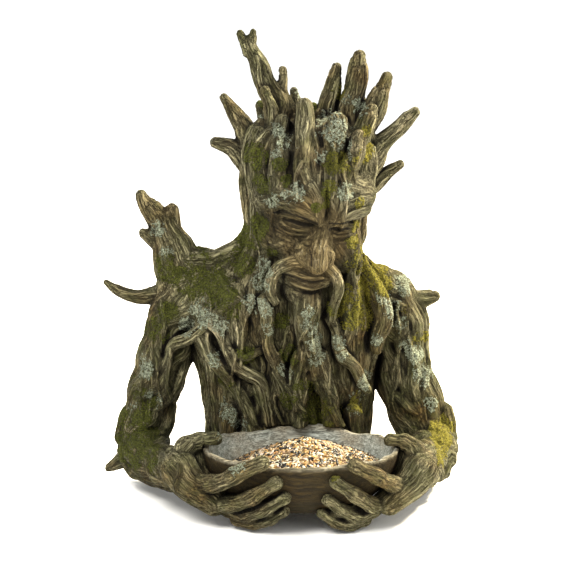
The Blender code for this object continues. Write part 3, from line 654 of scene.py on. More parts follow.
# Roots down the nape, behind, that carry the head into the back. They draw from random numbers
# of their own, so that a change to them leaves the rest as it is.
usual_rng, rng = rng, np.random.default_rng(11)
for i, x in enumerate(range(-34, 96, 10)):
    nape = ((x + 4, 30, 384 + 9 * (i % 3), 9), (x + 2, 37, 345, 12), (x, 45, 312, 14),
            (x * 0.95, 50, 282, 12), (x * 0.9, 53, 240 - 8 * (i % 4), 7))
    grow(nape, 5.0, wobble=1.2)
rng = usual_rng
print("strand pieces in all:", len(threads))

# %% [markdown]
# ## Room for the bowl, the ground and the back
# The bowl lifts out, so its outline and a hair's breadth are taken out of the hands. The foot
# and the back are sawn flat.

# %% Cut by bowl, ground and back
GAP = 0.6
BACK_PLANE = 58.0
MEAN_HALF_AXIS = 96.0
reach = np.array((bowl_half[0], bowl_half[1], 0)) + FAR
middle = np.array((*bowl_middle, 0))
first, last, (x, y, z) = cells_of(middle - reach + (0, 0, 20), middle + reach + (0, 0, bowl_foot + 90))
level = (z - bowl_foot) / BOWL_RISE
away = np.sqrt(((x - bowl_middle[0]) / bowl_half[0])**2 + ((y - bowl_middle[1]) / bowl_half[1])**2)
away = (away - bowl_share(level)) * MEAN_HALF_AXIS - GAP
away = np.maximum(away, np.maximum(bowl_foot - GAP - z, z - bowl_foot - BOWL_RISE - 2))
blend_in(first, last, away.astype(np.float32), 0, 0.5, cut=True)
heights = LOW[2] + STEP * np.arange(CELLS[2])
depths = LOW[1] + STEP * np.arange(CELLS[1])
field = np.maximum(field, -heights[None, None, :].astype(np.float32))
field = np.maximum(field, (depths[None, :, None] - BACK_PLANE).astype(np.float32))
print("share of the block that is wood:", round(float((field < 0).mean()), 3))

# %% [markdown]
# ## From cells to skin
# The zero surface is drawn out of the block as a net of four-sided faces. Each vertex finds the
# strand it belongs to, which gives it fibre coordinates: two across the strand and one along.

# %% Skin
grid = openvdb.FloatGrid(background=FAR)
grid.copyFromArray(field)
points, quads = grid.convertToQuads(isovalue=0.0)
skin = np.asarray(points, float) * STEP + LOW
quads = np.asarray(quads, np.int64)
label = np.arange(len(skin))
while True:
    lowest = label.copy()
    np.minimum.at(lowest, quads.ravel(), np.repeat(label[quads].min(axis=1), 4))
    lowest = lowest[lowest]
    if (lowest == label).all():
        break
    label = lowest
largest = np.bincount(label).argmax()
print("skin:", len(skin), "points, of them on the outside:", int((label == largest).sum()))
number = np.cumsum(label == largest) - 1
quads = number[quads[label[quads[:, 0]] == largest]]
skin = skin[label == largest]


def look_up(places):
    """Value of the block at any place, weighed from the eight cells round it."""
    at = (places - LOW) / STEP
    cell = np.clip(np.floor(at).astype(int), 0, CELLS - 2)
    part = np.clip(at - cell, 0, 1)
    total = np.zeros(len(places))
    for corner in itertools.product((0, 1), repeat=3):
        weight = np.prod(np.where(corner, part, 1 - part), axis=1)
        total += weight * field[tuple((cell + corner).T)]
    return total


def slope_at(places):
    """Outward direction: the field's difference over one cell each way, made unit length."""
    result = np.stack([look_up(places + d) - look_up(places - d) for d in np.eye(3) * STEP], axis=1)
    return result / np.maximum(np.linalg.norm(result, axis=1), 1e-6)[:, None]


outward = slope_at(skin)
table = np.array(threads)
cell = np.clip(np.rint((skin - outward - LOW) / STEP).astype(int), 0, CELLS - 1)
mine = table[np.maximum(owner[tuple(cell.T)] - 1, 0)]
offset = skin - mine[:, 0:3]
along = (offset * mine[:, 3:6]).sum(1) / np.maximum((mine[:, 3:6]**2).sum(1), 1e-6)
offset -= along[:, None] * mine[:, 3:6]
fibre = np.stack([
    (offset * mine[:, 6:9]).sum(1),
    (offset * mine[:, 9:12]).sum(1),
    mine[:, 12] + along * np.linalg.norm(mine[:, 3:6], axis=1),
], axis=1)
seed = mine[:, 13]

# %% [markdown]
# ## Grooves, hollows and growth
# Weather opens wood along its fibres, so grooves are noise stretched along each strand. A
# hollow is a place where the block, a little way out from the skin, is still close to wood; the
# material paints it dark as painted shade. Moss sits on top of things and in damp hollows, and
# lichen in patches of its own.

# %% Noise on whole arrays
SLOPES = rng.normal(size=(256, 3))
SLOPES /= np.linalg.norm(SLOPES, axis=1)[:, None]
ORDER = rng.permutation(256)


def noise(places):
    """Gradient noise: eight corner slopes, blended with 6t^5 - 15t^4 + 10t^3."""
    cell = np.floor(places).astype(np.int64)
    part = places - cell
    fade = part**3 * (part * (part * 6 - 15) + 10)
    total = np.zeros(len(places))
    for corner in itertools.product((0, 1), repeat=3):
        c = (cell + corner) & 255
        pick = ORDER[(ORDER[(ORDER[c[:, 0]] + c[:, 1]) & 255] + c[:, 2]) & 255]
        weight = np.prod(np.where(corner, fade, 1 - fade), axis=1)
        total += weight * ((part - corner) * SLOPES[pick]).sum(1)
    return total * 1.6


def smooth_step(low, high, value):
    """0 below low, 1 above high, and 3t^2 - 2t^3 between."""
    t = np.clip((value - low) / (high - low), 0, 1)
    return t * t * (3 - 2 * t)


trial = np.array(((0.5, 0.5, 0.5), (9.3, 2.1, 4.7)))
print("noise at two places:", noise(trial).round(3))

# %% Masks
# How deep each point lies in a hollow: it places moss and lichen, and the material paints it as shade
hollow_and_shade = np.zeros(len(skin))
for distance in (2.5, 5.0, 9.0):
    hollow_and_shade += (1 - np.clip(look_up(skin + outward * distance) / distance, 0, 1)) / 3
ridge = np.clip(1 + look_up(skin - outward * 4.0) / 4.0, 0, 1)
shifted = fibre + seed[:, None]
lines = noise(shifted * (0.26, 0.26, 0.013))
fine = noise(shifted * (0.62, 0.62, 0.024))
knots = noise(skin / 14.0)
patches = noise(skin / 30.0 + 9.0)
speckle = noise(skin / 3.2)
up = outward[:, 2]

# Growth seen on the real piece, as (x, z, radius) in the figure's own layout
MOSS = (
    (-40, 436, 20), (-32, 404, 14), (-10, 430, 11), (-4, 410, 9), (-150, 285, 22), (-120, 275, 34),
    (-95, 265, 32), (-75, 250, 26), (-60, 300, 22), (62, 506, 12), (56, 428, 18),
    (52, 408, 12), (92, 436, 16), (98, 465, 10), (34, 380, 8), (90, 306, 22), (100, 268, 28),
    (88, 232, 22), (112, 285, 20), (122, 268, 15), (150, 235, 9), (60, 250, 14), (72, 268, 16),
    (40, 110, 30), (48, 96, 22), (20, 150, 16), (0, 130, 16), (-52, 188, 14), (-205, 60, 28),
    (-215, 85, 22), (-10, 232, 12), (78, 332, 10), (86, 384, 9), (-50, 330, 20), (-58, 300, 18),
    (-188, 80, 34), (-170, 210, 22), (-150, 230, 18), (196, 78, 18), (170, 200, 16), (-36, 350, 16),
    (-20, 320, 10), (46, 398, 9), (46, 384, 7), (84, 350, 9), (90, 120, 16), (-80, 150, 16),
    (-186, 120, 22), (0, 190, 14),
)
LICHEN = (
    (-110, 245, 24), (-98, 228, 20), (-84, 218, 14), (-165, 335, 14), (-152, 305, 12), (62, 452, 24),
    (54, 470, 24), (48, 438, 18), (88, 492, 14), (72, 500, 10), (14, 400, 14), (-2, 455, 14),
    (-12, 468, 12), (-14, 440, 10), (-34, 280, 16), (-46, 252, 16), (-28, 250, 14), (-24, 222, 12),
    (26, 232, 14), (34, 208, 14), (36, 188, 14), (24, 250, 10), (60, 205, 14), (66, 188, 10),
    (122, 262, 18), (144, 264, 18), (132, 240, 16), (70, 398, 16), (-22, 388, 14), (0, 392, 12),
    (175, 150, 20),
    (160, 175, 16), (150, 190, 12), (-180, 160, 16), (-170, 120, 16), (-75, 110, 16), (-60, 96, 14),
    (86, 120, 16), (96, 150, 14), (-30, 300, 12), (-128, 215, 14), (140, 215, 14), (110, 205, 12),
    (-2, 170, 12), (-90, 180, 14), (182, 110, 14), (-196, 100, 14), (-84, 500, 8), (-100, 446, 8),
)


def growth(spots):
    """The largest of soft discs over the front, and the share behind, where the callers lay patches of
    noise in their place.
    """
    total = np.zeros(len(skin))
    for x, z, radius in spots:
        away = np.hypot(skin[:, 0] - x, skin[:, 2] - z) / radius
        total = np.maximum(total, 1 - smooth_step(0.4, 1.5, away))
    front = smooth_step(30, -10, skin[:, 1])
    return total * front, 1 - front


# Painted shade along the slits of the eyes, the mouth, the frown and the wings of the nose, as (x, z,
# half width)
PAINTED_SHADE_LINES = (
    ((-5, 363, 1.8), (6, 360.5, 3.6), (17, 358.0, 4.0), (30, 356.6, 3.0)),
    ((51, 352.2, 2.4), (61, 349.6, 3.6), (73, 350.4, 2.2)),
    ((-6, 297.2, 1.4), (5, 295.4, 1.8), (15, 291.6, 2.2), (27, 288.6, 2.2), (43, 289.4, 1.8)),
    ((-17, 371, 1.2), (-4, 373, 1.6), (10, 370, 2.0), (24, 364.5, 2.2), (35, 359, 2.0)),
    ((50, 360, 1.8), (62, 358.5, 1.8), (78, 361, 1.2)),
    ((45, 400, 1.0), (47, 384, 1.2), (45, 366, 1.6)),
    ((28, 312, 1.2), (29, 320, 1.2), (26, 330, 0.8)),
)
# Each line adds painted shade to the hollows, which the material paints nearly black
for line in PAINTED_SHADE_LINES:
    for (x, z, width), (x2, z2, width2) in zip(line, line[1:]):
        run_x, run_z = x2 - x, z2 - z
        ahead = (skin[:, 0] - x) * run_x + (skin[:, 2] - z) * run_z
        part = np.clip(ahead / (run_x**2 + run_z**2), 0, 1)
        away = np.hypot(skin[:, 0] - x - part * run_x, skin[:, 2] - z - part * run_z)
        near = smooth_step(1.4, 0.6, away / (width + part * (width2 - width))) * (skin[:, 1] < -70)
        hollow_and_shade = np.maximum(hollow_and_shade, near)
moss_front, behind = growth(MOSS)
lichen_front, _ = growth(LICHEN)
# Painted sunlight: the right side, where moss is painted lighter and yellower
painted_sun_side = smooth_step(20, 110, skin[:, 0])
broken = 0.45 * patches + 0.40 * knots + 0.30 * noise(skin / 7.0 + 3.0) + 0.22 * speckle
moss = 0.74 * moss_front + behind * (0.30 + 0.5 * patches)
moss = 0.66 * smooth_step(0.26, 0.66, moss * (0.60 + 0.34 * up + 0.80 * hollow_and_shade) + 0.46 * broken + 0.05)
crust_noise = 0.40 * noise(skin / 18.0 + 40.0) + 0.35 * noise(skin / 6.0 + 17.0) + 0.22 * speckle
lichen = 0.70 * lichen_front + behind * (0.28 - 0.5 * patches) - 0.40 * hollow_and_shade
lichen = 0.60 * smooth_step(0.24, 0.64, lichen + 0.66 * crust_noise) * (1 - moss)
from_face = np.hypot(skin[:, 0] - 32, (skin[:, 2] - 338) * 0.75)
face_zone = smooth_step(52, 34, from_face) * (skin[:, 1] < -60)
low_damp = smooth_step(210, 90, skin[:, 2])
arm_damp = smooth_step(95, 140, np.abs(skin[:, 0])) * smooth_step(330, 270, skin[:, 2])
spike_damp = smooth_step(0, -24, skin[:, 0]) * smooth_step(470, 520, skin[:, 2])
# Thin green film on damp wood: low down, on the arms and on the long spike at the left
film = 0.40 + 0.9 * patches + 0.5 * knots + 0.50 * moss_front + 0.5 * low_damp
film = film + 0.4 * arm_damp + 0.8 * spike_damp
on_hands = smooth_step(-84, -110, skin[:, 1]) * smooth_step(150, 120, skin[:, 2])
film = np.clip(film, 0, 1) * (1 - 0.3 * on_hands) * (1 - 0.7 * face_zone)
print("moss on", round(moss.mean(), 3), "lichen on", round(lichen.mean(), 3), "of the skin")

# %% Grooves pressed into the skin
groove = smooth_step(0.16, 0.0, np.abs(lines)) * (1 - 0.55 * face_zone)
thin_groove = smooth_step(0.14, 0.0, np.abs(fine)) * (1 - 0.4 * face_zone)
lift = -1.3 * groove - 0.6 * thin_groove + 0.5 * knots * (1 - face_zone)
lift += moss * (0.8 + 1.2 * speckle) + lichen * (0.3 + 0.7 * speckle)
near_flat = (skin[:, 2] < 2) | (skin[:, 1] > BACK_PLANE - 2)
lift = np.where(near_flat, np.minimum(lift, 0) * 0.3, lift)
placed = skin + outward * lift[:, None]
placed[:, 2] = np.where(skin[:, 2] < 1.0, 0.0, np.maximum(placed[:, 2], 0.0))
placed[:, 1] = np.minimum(placed[:, 1], BACK_PLANE)
# Painted highlights on the nose, brows, lips, moustache, knuckles, as (x, z, radius)
HIGHLIGHT_SPOTS = (
    (40, 338, 14), (37, 315, 15), (20, 324, 9), (2, 390, 20), (22, 384, 16), (78, 386, 18),
    (22, 283, 14),
    (-12, 305, 12), (-18, 285, 12), (60, 292, 12), (-70, 214, 16), (-100, 216, 16), (24, 420, 14),
    (20, 478, 12), (84, 446, 12), (64, 520, 14), (116, 510, 16), (144, 470, 16),
)
highlight_spots, _ = growth(HIGHLIGHT_SPOTS)
# Lighter wood: worn ridges plus painted highlights, kept out of the hollows and off the hands
wear_and_highlight = ridge * 1.2 - hollow_and_shade - 0.5 * groove - 0.18 + 0.62 * highlight_spots * (1 - hollow_and_shade) - 0.45 * on_hands
wear_and_highlight = np.clip(wear_and_highlight, 0, 1)
print("skin pressed in by up to", round(-float(lift.min()), 2), "and raised by",
      round(float(lift.max()), 2))

# %% [markdown]
# ## Pieces of the skin
# The carving is one piece of wood, but its whole skin is too dense for one mesh. Thinning it
# would lose the grooves, so it is sawn by flat cuts into a face, the head behind it, chest, back,
# two arms and the fingers, each closed with its own cap inside the wood. The cuts don't show.

# %% Saw the skin into pieces
MASKS = {
    "hollow_and_shade": hollow_and_shade, "moss": moss, "lichen": lichen, "wear_and_highlight": wear_and_highlight, "painted_sun_side": painted_sun_side,
    "face": face_zone, "film": film,
}


def whole_skin():
    """One mesh of the skin with its masks and fibre coordinates."""
    data = bpy.data.meshes.new("skin")
    data.from_pydata((placed * UNIT).astype(np.float32), [], quads)
    data.update()
    for name, values in MASKS.items():
        data.attributes.new(name, "FLOAT", "POINT").data.foreach_set("value", values.astype(np.float32))
    layer = data.attributes.new("fibre", "FLOAT_VECTOR", "POINT")
    layer.data.foreach_set("vector", shifted.astype(np.float32).ravel())
    return data


def sawn(mesh, place, normal):
    """The part in front of a plane and the part behind it, each with a cap on the cut."""
    parts = []
    for keep in (1, -1):
        half = mesh.copy()
        everything = half.verts[:] + half.edges[:] + half.faces[:]
        cut = bmesh.ops.bisect_plane(
            half, geom=everything, dist=1e-7, plane_co=place,
            plane_no=[keep * n for n in normal], clear_inner=True,
        )
        rim = [item for item in cut["geom_cut"] if isinstance(item, bmesh.types.BMEdge)]
        cap = bmesh.ops.triangle_fill(
            half, use_beauty=False, edges=rim, normal=[-keep * n for n in normal],
        )
        for face in (f for f in cap["geom"] if isinstance(f, bmesh.types.BMFace)):
            face.smooth = False
        for edge in rim:
            edge.smooth = False
        parts.append(half)
    mesh.free()
    return parts


whole = whole_skin()
body = bmesh.new()
body.from_mesh(whole)
for face in body.faces:
    face.smooth = True
bpy.data.meshes.remove(whole)
# Where the cuts lie: height of the neck, then depths of face, hands and chest
NECK, FACE_DEPTH, HANDS_DEPTH, CHEST_DEPTH = 296, -30, -84, -20
RIGHT_SIDE, LEFT_SIDE = 112, -114
head, below = sawn(body, (0, 0, NECK * UNIT), (0, 0, 1))
face_part, head_part = sawn(head, (0, FACE_DEPTH * UNIT, 0), (0, -1, 0))
right, rest = sawn(below, (RIGHT_SIDE * UNIT, 0, 0), (1, 0, 0))
left, middle_part = sawn(rest, (LEFT_SIDE * UNIT, 0, 0), (-1, 0, 0))
hands_part, trunk_part = sawn(middle_part, (0, HANDS_DEPTH * UNIT, 0), (0, -1, 0))
chest_part, trunk_part = sawn(trunk_part, (0, CHEST_DEPTH * UNIT, 0), (0, -1, 0))
PIECES = {
    "face": face_part, "back_of_head": head_part, "chest": chest_part, "back_of_trunk": trunk_part,
    "left_arm": left, "right_arm": right, "fingers": hands_part,
}
figure_pieces = []
for name, mesh in PIECES.items():
    data = bpy.data.meshes.new(name)
    mesh.to_mesh(data)
    mesh.free()
    piece = bpy.data.objects.new(name, data)
    bpy.context.scene.collection.objects.link(piece)
    figure_pieces.append(piece)
    data.calc_loop_triangles()
    print(name, len(data.loop_triangles), "triangles")

# %% [markdown]
# ## The bowl
# The bowl is cut by hand to a shallow oval. A solid box with a hollow cut out would do, but its
# wall would have no even thickness. So it is one profile carried round an ellipse: up the
# outside, over a thin lip, down the inside and across the floor. Its rim waves a little.

# %% Bowl surface
WALL, FLOOR = 6.0, 8.0


def bowl_point(turn, share, inset, level):
    """Ellipse of the level's share, less the inset, with the rim's wave and the prow in front.
    Both fade out towards the middle of the floor, where the rings close into one point."""
    outer = np.minimum(share / 0.3, 1.0)
    wave = 2.2 * level**3 * (np.sin(5 * turn + 0.7) + 0.6 * np.sin(11 * turn))
    ring = np.stack(np.broadcast_arrays(4 * np.cos(turn), 4 * np.sin(turn), 0 * turn + 2.5), axis=-1)
    chips = noise(ring.reshape(-1, 3)) + 0.6 * noise(ring.reshape(-1, 3) * 2.6)
    wave = outer * (wave + 2.4 * level**6 * chips.reshape(turn.shape))
    prow = outer * PROW * level * np.maximum(0, -np.sin(turn))**24
    return np.stack(np.broadcast_arrays(
        bowl_middle[0] + (bowl_half[0] * share - inset) * np.cos(turn),
        bowl_middle[1] + (bowl_half[1] * share - inset + prow) * np.sin(turn),
        bowl_foot + BOWL_RISE * level + wave,
    ), axis=-1)


def net(points):
    """Faces of a grid (rows, columns) whose columns close into rings. The first and the last row
    are poles: all their points lie in one place."""
    rows, columns = points.shape[:2]
    at = np.arange(rows * columns).reshape(rows, columns)
    after = np.roll(at, -1, axis=1)
    faces = np.stack([at[:-1], after[:-1], after[1:], at[1:]], axis=-1).reshape(-1, 4)
    return points.reshape(-1, 3), faces


def surface(name, points, faces):
    """A smooth mesh object from points in layout units, doubled points merged."""
    data = bpy.data.meshes.new(name)
    data.from_pydata((np.asarray(points) * UNIT).astype(np.float32), [], faces)
    mesh = bmesh.new()
    mesh.from_mesh(data)
    bmesh.ops.remove_doubles(mesh, verts=mesh.verts, dist=2e-5)
    mesh.to_mesh(data)
    mesh.free()
    data.shade_smooth()
    piece = bpy.data.objects.new(name, data)
    bpy.context.scene.collection.objects.link(piece)
    return piece


turns = np.linspace(0, 2 * np.pi, 280, endpoint=False)[None, :]
up_wall = np.linspace(0, 1, 26)
floor_level = FLOOR / BOWL_RISE
down_wall = np.linspace(1, floor_level, 22)
lip = np.linspace(0, np.pi, 9)[1:-1]
profile = np.vstack([
    [(s, 0.0, 0.0) for s in np.linspace(0, 0.6, 10)],
    [(bowl_share(v), 0.0, v) for v in up_wall[:-1]],
    [(1.0, (WALL - WALL * np.cos(a)) / 2, 1.0 - (1 - np.sin(a)) * 0.02) for a in lip],
    [(bowl_share(v), WALL, v) for v in down_wall[1:]],
    [(s, WALL * s / 0.7, floor_level) for s in np.linspace(0.7, 0, 10)],
])
shell = bowl_point(turns, *(profile[:, k:k + 1] for k in range(3)))
points, faces = net(shell)
spot = points.reshape(-1, 3)
dent = 0.5 * noise(spot / (16, 9, 9)) + 0.35 * noise(spot / (30, 4, 4))
crack = smooth_step(0.08, 0.0, np.abs(noise(spot / (60, 9, 6) + 4)))
inward = np.array((*bowl_middle, 0)) - spot
inward[:, 2] = 0
inward /= np.maximum(np.linalg.norm(inward, axis=1), 1)[:, None]
side_only = smooth_step(0.0, 0.15, (spot[:, 2] - bowl_foot) / BOWL_RISE)[:, None]
points = spot + inward * side_only * (0.35 + dent + 0.5 * crack)[:, None]
bowl = surface("wooden_bowl", points, faces)
spot = np.empty(3 * len(bowl.data.vertices), np.float32)
bowl.data.vertices.foreach_get("co", spot)
spot = spot.reshape(-1, 3) / UNIT
level = (spot[:, 2] - bowl_foot) / BOWL_RISE
away = np.hypot(*((spot[:, :2] - bowl_middle) / bowl_half).T)
inside = smooth_step(-0.022, -0.034, away - bowl_share(level)) * (level > 0.06)
for name, values in (("inside", inside), ("lip", smooth_step(0.91, 0.99, level))):
    bowl.data.attributes.new(name, "FLOAT", "POINT").data.foreach_set("value", values.astype(np.float32))
print("bowl faces:", len(bowl.data.polygons))

# %% [markdown]
# ## Birdseed
# Thousands of loose seeds fill the bowl. Dropping them one by one would take minutes, and most
# would lie hidden. So there is a heap, a closed surface that meets the bowl's inner wall, and one
# layer of seeds on it, each one of five small shapes of few faces: millet, maize, wheat,
# safflower and black sunflower.

# %% Heap of seed
HEAP_TOP = 101.0
columns, rows = 160, 40
turn = np.linspace(0, 2 * np.pi, columns, endpoint=False)


def heap_edge(turn):
    """Height at which the heap meets the wall: higher in front, lower at both ends."""
    front, left, right = (np.maximum(0, way) for way in (-np.sin(turn), -np.cos(turn), np.cos(turn)))
    return 76 + 10 * front - 20 * left - 12 * right


def heap_point(share, turn):
    """Top of the heap: from the edge's height to the peak by (1 - share^1.25), a little rough."""
    edge = heap_edge(turn)
    rim = bowl_share((edge - bowl_foot) / BOWL_RISE)
    x = bowl_middle[0] + 6 * (1 - share) + (bowl_half[0] * rim - WALL - 0.4) * share * np.cos(turn)
    y = bowl_middle[1] - 4 * (1 - share) + (bowl_half[1] * rim - WALL - 0.4) * share * np.sin(turn)
    z = edge + (HEAP_TOP - edge) * (1 - share**1.25)
    flat = np.stack(np.broadcast_arrays(x, y, z), axis=-1)
    rough = 1.6 * noise(flat.reshape(-1, 3) / 15).reshape(z.shape) * (1 - share**3)
    flat[..., 2] += rough
    return flat


share = np.linspace(0, 1, rows)[:, None]
top = heap_point(share, turn[None, :])
# Rings of the underside, as share of the bowl's inside and height, down to its floor
UNDERSIDE = ((0.93, 62.0), (0.78, 46.0), (0.66, 36.5), (0.3, 36.0), (0.0, 36.0))
under = np.stack([
    np.stack([
        bowl_middle[0] + (bowl_half[0] - WALL - 3) * s * np.cos(turn),
        bowl_middle[1] + (bowl_half[1] - WALL - 3) * s * np.sin(turn),
        np.minimum(z, heap_edge(turn) - 2) + 0 * turn,
    ], axis=-1) for s, z in UNDERSIDE
])
points, faces = net(np.concatenate([top, under])[::-1])
heap = surface("seed_heap", points, faces)
print("heap height from the bowl's floor:", round(float(top[..., 2].max() - bowl_foot - FLOOR), 1))

# %% Single seeds


def seed_shape(length, width, height, point=0.0):
    """A seed of five rings with five corners each: radius 0.25, 0.8, 1, 0.8 and 0.25 of half its
    width, narrowed towards one end by 1 - point*(x + 1)/2.6. Two caps close it."""
    ring = np.array((0.25, 0.80, 1.0, 0.80, 0.25))
    x = np.array((1.0, 0.62, 0.0, -0.62, -1.0))
    taper = 1 - point * (x + 1) / 2.6
    turn = np.linspace(0, 2 * np.pi, 5, endpoint=False)[None, :]
    grid = np.stack(np.broadcast_arrays(
        x[:, None] * length / 2,
        (ring * taper)[:, None] * np.cos(turn) * width / 2,
        (ring * taper)[:, None] * np.sin(turn) * height / 2,
    ), axis=-1)
    at = np.arange(25).reshape(5, 5)
    after = np.roll(at, -1, axis=1)
    sides = np.stack([at[:-1], at[1:], after[1:], after[:-1]], axis=-1).reshape(-1, 4)
    return grid.reshape(-1, 3), sides, np.stack([at[0], at[-1][::-1]])


# share of the mix, length, width, height, taper, colour, sink
SEEDS = (
    (0.32, 2.8, 2.6, 2.4, 0.0, (0.34, 0.26, 0.14), 0.2),
    (0.13, 5.8, 4.8, 3.3, 0.5, (0.36, 0.21, 0.07), 0.25),
    (0.22, 6.2, 2.8, 2.6, 0.3, (0.25, 0.17, 0.10), 0.25),
    (0.18, 7.2, 3.8, 2.9, 0.6, (0.54, 0.48, 0.37), 0.25),
    (0.15, 9.6, 4.8, 3.3, 0.8, (0.012, 0.011, 0.010), 0.2),
)
SEED_COUNT = 3000


def scattered_seeds():
    """Every kind's base shape, turned at random about the heap's upward direction, tilted a
    little, and set on the heap. The places are even in area: share is a square root."""
    corners, nets, colours, total = [], [], [], 0
    for part, length, width, height, point, colour, sink in SEEDS:
        count = int(SEED_COUNT * part)
        share, angle = np.sqrt(rng.uniform(0, 0.985, count)), rng.uniform(0, 2 * np.pi, count)
        here = heap_point(share, angle)
        eps = 0.02
        normal = np.cross(heap_point(share + eps, angle) - here, heap_point(share, angle + eps) - here)
        normal /= np.linalg.norm(normal, axis=1)[:, None]
        normal = normal + rng.normal(0, 0.28, normal.shape)
        normal /= np.linalg.norm(normal, axis=1)[:, None]
        run = np.cross(normal, rng.normal(size=normal.shape))
        run /= np.linalg.norm(run, axis=1)[:, None]
        across = np.cross(normal, run)
        base, sides, ends = seed_shape(length, width, height, point)
        size = rng.uniform(0.8, 1.15, count)[:, None, None]
        shape = base[None] * size
        world = (here + normal * height * (0.5 - sink))[:, None] + (
            shape[..., 0:1] * run[:, None]
            + shape[..., 1:2] * across[:, None]
            + shape[..., 2:3] * normal[:, None]
        )
        corners.append(world.reshape(-1, 3))
        starts = (total + np.arange(count) * len(base))[:, None, None]
        nets += (sides[None] + starts).reshape(-1, 4).tolist()
        nets += (ends[None] + starts).reshape(-1, 5).tolist()
        total += count * len(base)
        shade, hue = rng.uniform(0.60, 1.05, (count, 1)), rng.uniform(0.93, 1.07, (count, 3))
        tint = np.array(colour) * shade * hue
        colours.append(np.repeat(tint, len(base), axis=0))
    return np.vstack(corners), nets, np.vstack(colours)


corners, nets, colours = scattered_seeds()
data = bpy.data.meshes.new("birdseed")
data.from_pydata((corners * UNIT).astype(np.float32), [], nets)
data.shade_smooth()
layer = data.attributes.new("seed_colour", "FLOAT_COLOR", "POINT")
with_alpha = np.column_stack([colours, np.ones(len(colours))])
layer.data.foreach_set("color", with_alpha.astype(np.float32).ravel())
birdseed = bpy.data.objects.new("birdseed", data)
bpy.context.scene.collection.objects.link(birdseed)
print("seeds:", SEED_COUNT, "triangles:", sum(len(face) - 2 for face in nets))

# %% [markdown]
# ## Node helpers
# A material is a tree of nodes. Two short helpers keep the trees readable: one adds a node and
# fills its sockets, the other mixes two colours.

# %% Helpers for node trees


def node(tree, kind, sockets=(), **settings):
    """Adds a node; sockets maps an input to a value or to another node's output."""
    made = tree.nodes.new(kind)
    for name, value in settings.items():
        setattr(made, name, value)
    for name, value in dict(sockets).items():
        if isinstance(value, bpy.types.NodeSocket):
            tree.links.new(value, made.inputs[name])
        else:
            made.inputs[name].default_value = value
    return made


def mixed(tree, factor, a, b):
    """Colour a where the factor is 0, colour b where it is 1."""
    return node(tree, "ShaderNodeMix", {0: factor, 6: a, 7: b}, data_type="RGBA").outputs[2]


def maths(tree, kind, a, b=0.0, clamp=False):
    """One sum, product or larger of two values."""
    return node(tree, "ShaderNodeMath", {0: a, 1: b}, operation=kind, use_clamp=clamp).outputs[0]


def times(tree, a, b):
    """The product of two values."""
    return maths(tree, "MULTIPLY", a, b)


def ranged(tree, value, low, high, start=0.0, end=1.0):
    """The value, taken from one range to another and held there."""
    return node(tree, "ShaderNodeMapRange", {0: value, 1: low, 2: high, 3: start, 4: end}).outputs[0]


def attribute(tree, name, output="Fac"):
    """A mask or a vector stored on the mesh."""
    return node(tree, "ShaderNodeAttribute", attribute_name=name).outputs[output]


def noise_of(tree, vector, scale, detail=3.0, rough=0.55):
    """Fractal noise of a vector."""
    return node(tree, "ShaderNodeTexNoise", {
        "Vector": vector, "Scale": scale, "Detail": detail, "Roughness": rough,
    }).outputs["Fac"]


def new_finish(name):
    """A material with its tree, its Principled shader and the piece's Object coordinates."""
    finish = bpy.data.materials.new(name)
    finish.use_nodes = True
    tree = finish.node_tree
    place = node(tree, "ShaderNodeTexCoord").outputs["Object"]
    return finish, tree, tree.nodes["Principled BSDF"], place


def bumped(tree, shader, height, strength, distance):
    """Lets a height turn the shader's normal a little."""
    bump = node(tree, "ShaderNodeBump", {"Strength": strength, "Distance": distance, "Height": height})
    tree.links.new(bump.outputs[0], shader.inputs["Normal"])


def new_group(name, inputs, outputs):
    """An empty shader node group with named sockets."""
    group = bpy.data.node_groups.new(name, "ShaderNodeTree")
    for title, kind, value in inputs:
        made = group.interface.new_socket(title, in_out="INPUT", socket_type=kind)
        if value is not None:
            made.default_value = value
    for title, kind in outputs:
        group.interface.new_socket(title, in_out="OUTPUT", socket_type=kind)
    return group, group.nodes.new("NodeGroupInput"), group.nodes.new("NodeGroupOutput")


print("helpers ready: from node to new_group")

# %% [markdown]
# ## Wood fibre, shared by carving and bowl
# Grain is noise squeezed across the fibres and stretched along them. The group gives broad
# streaks for the colour, thin cracks, and a height for the bump.

# %% Fibre group
fibre_group, given, result = new_group(
    "wood_fibre",
    [("Fibre", "NodeSocketVector", None), ("Scale", "NodeSocketFloat", 1.0)],
    [("Streaks", "NodeSocketFloat"), ("Cracks", "NodeSocketFloat"), ("Height", "NodeSocketFloat")],
)
sized = node(fibre_group, "ShaderNodeVectorMath", {0: given.outputs["Fibre"]}, operation="SCALE")
fibre_group.links.new(given.outputs["Scale"], sized.inputs["Scale"])
bend = node(fibre_group, "ShaderNodeTexNoise", {
    "Vector": sized.outputs[0], "Scale": 0.05, "Detail": 2.0,
})
bent = node(fibre_group, "ShaderNodeVectorMath", {
    0: bend.outputs["Color"], 1: (6.0, 6.0, 0.0),
}, operation="MULTIPLY")
moved = node(fibre_group, "ShaderNodeVectorMath", {
    0: sized.outputs[0], 1: bent.outputs[0],
}, operation="ADD")
stretched = node(fibre_group, "ShaderNodeMapping", {
    "Vector": moved.outputs[0], "Scale": (1.0, 1.0, 0.030),
})
streaks = noise_of(fibre_group, stretched.outputs[0], 0.34, 4.0, 0.6)
threads_fine = noise_of(fibre_group, stretched.outputs[0], 0.60, 3.0, 0.6)
away = maths(fibre_group, "ABSOLUTE", maths(fibre_group, "SUBTRACT", threads_fine, 0.5))
cracks = ranged(fibre_group, away, 0.0, 0.060, 1.0, 0.0)
height = maths(fibre_group, "SUBTRACT", maths(fibre_group, "ADD", streaks, threads_fine), cracks)
fibre_group.links.new(ranged(fibre_group, streaks, 0.36, 0.66), result.inputs["Streaks"])
fibre_group.links.new(cracks, result.inputs["Cracks"])
fibre_group.links.new(height, result.inputs["Height"])
print("fibre group:", len(fibre_group.nodes), "nodes")
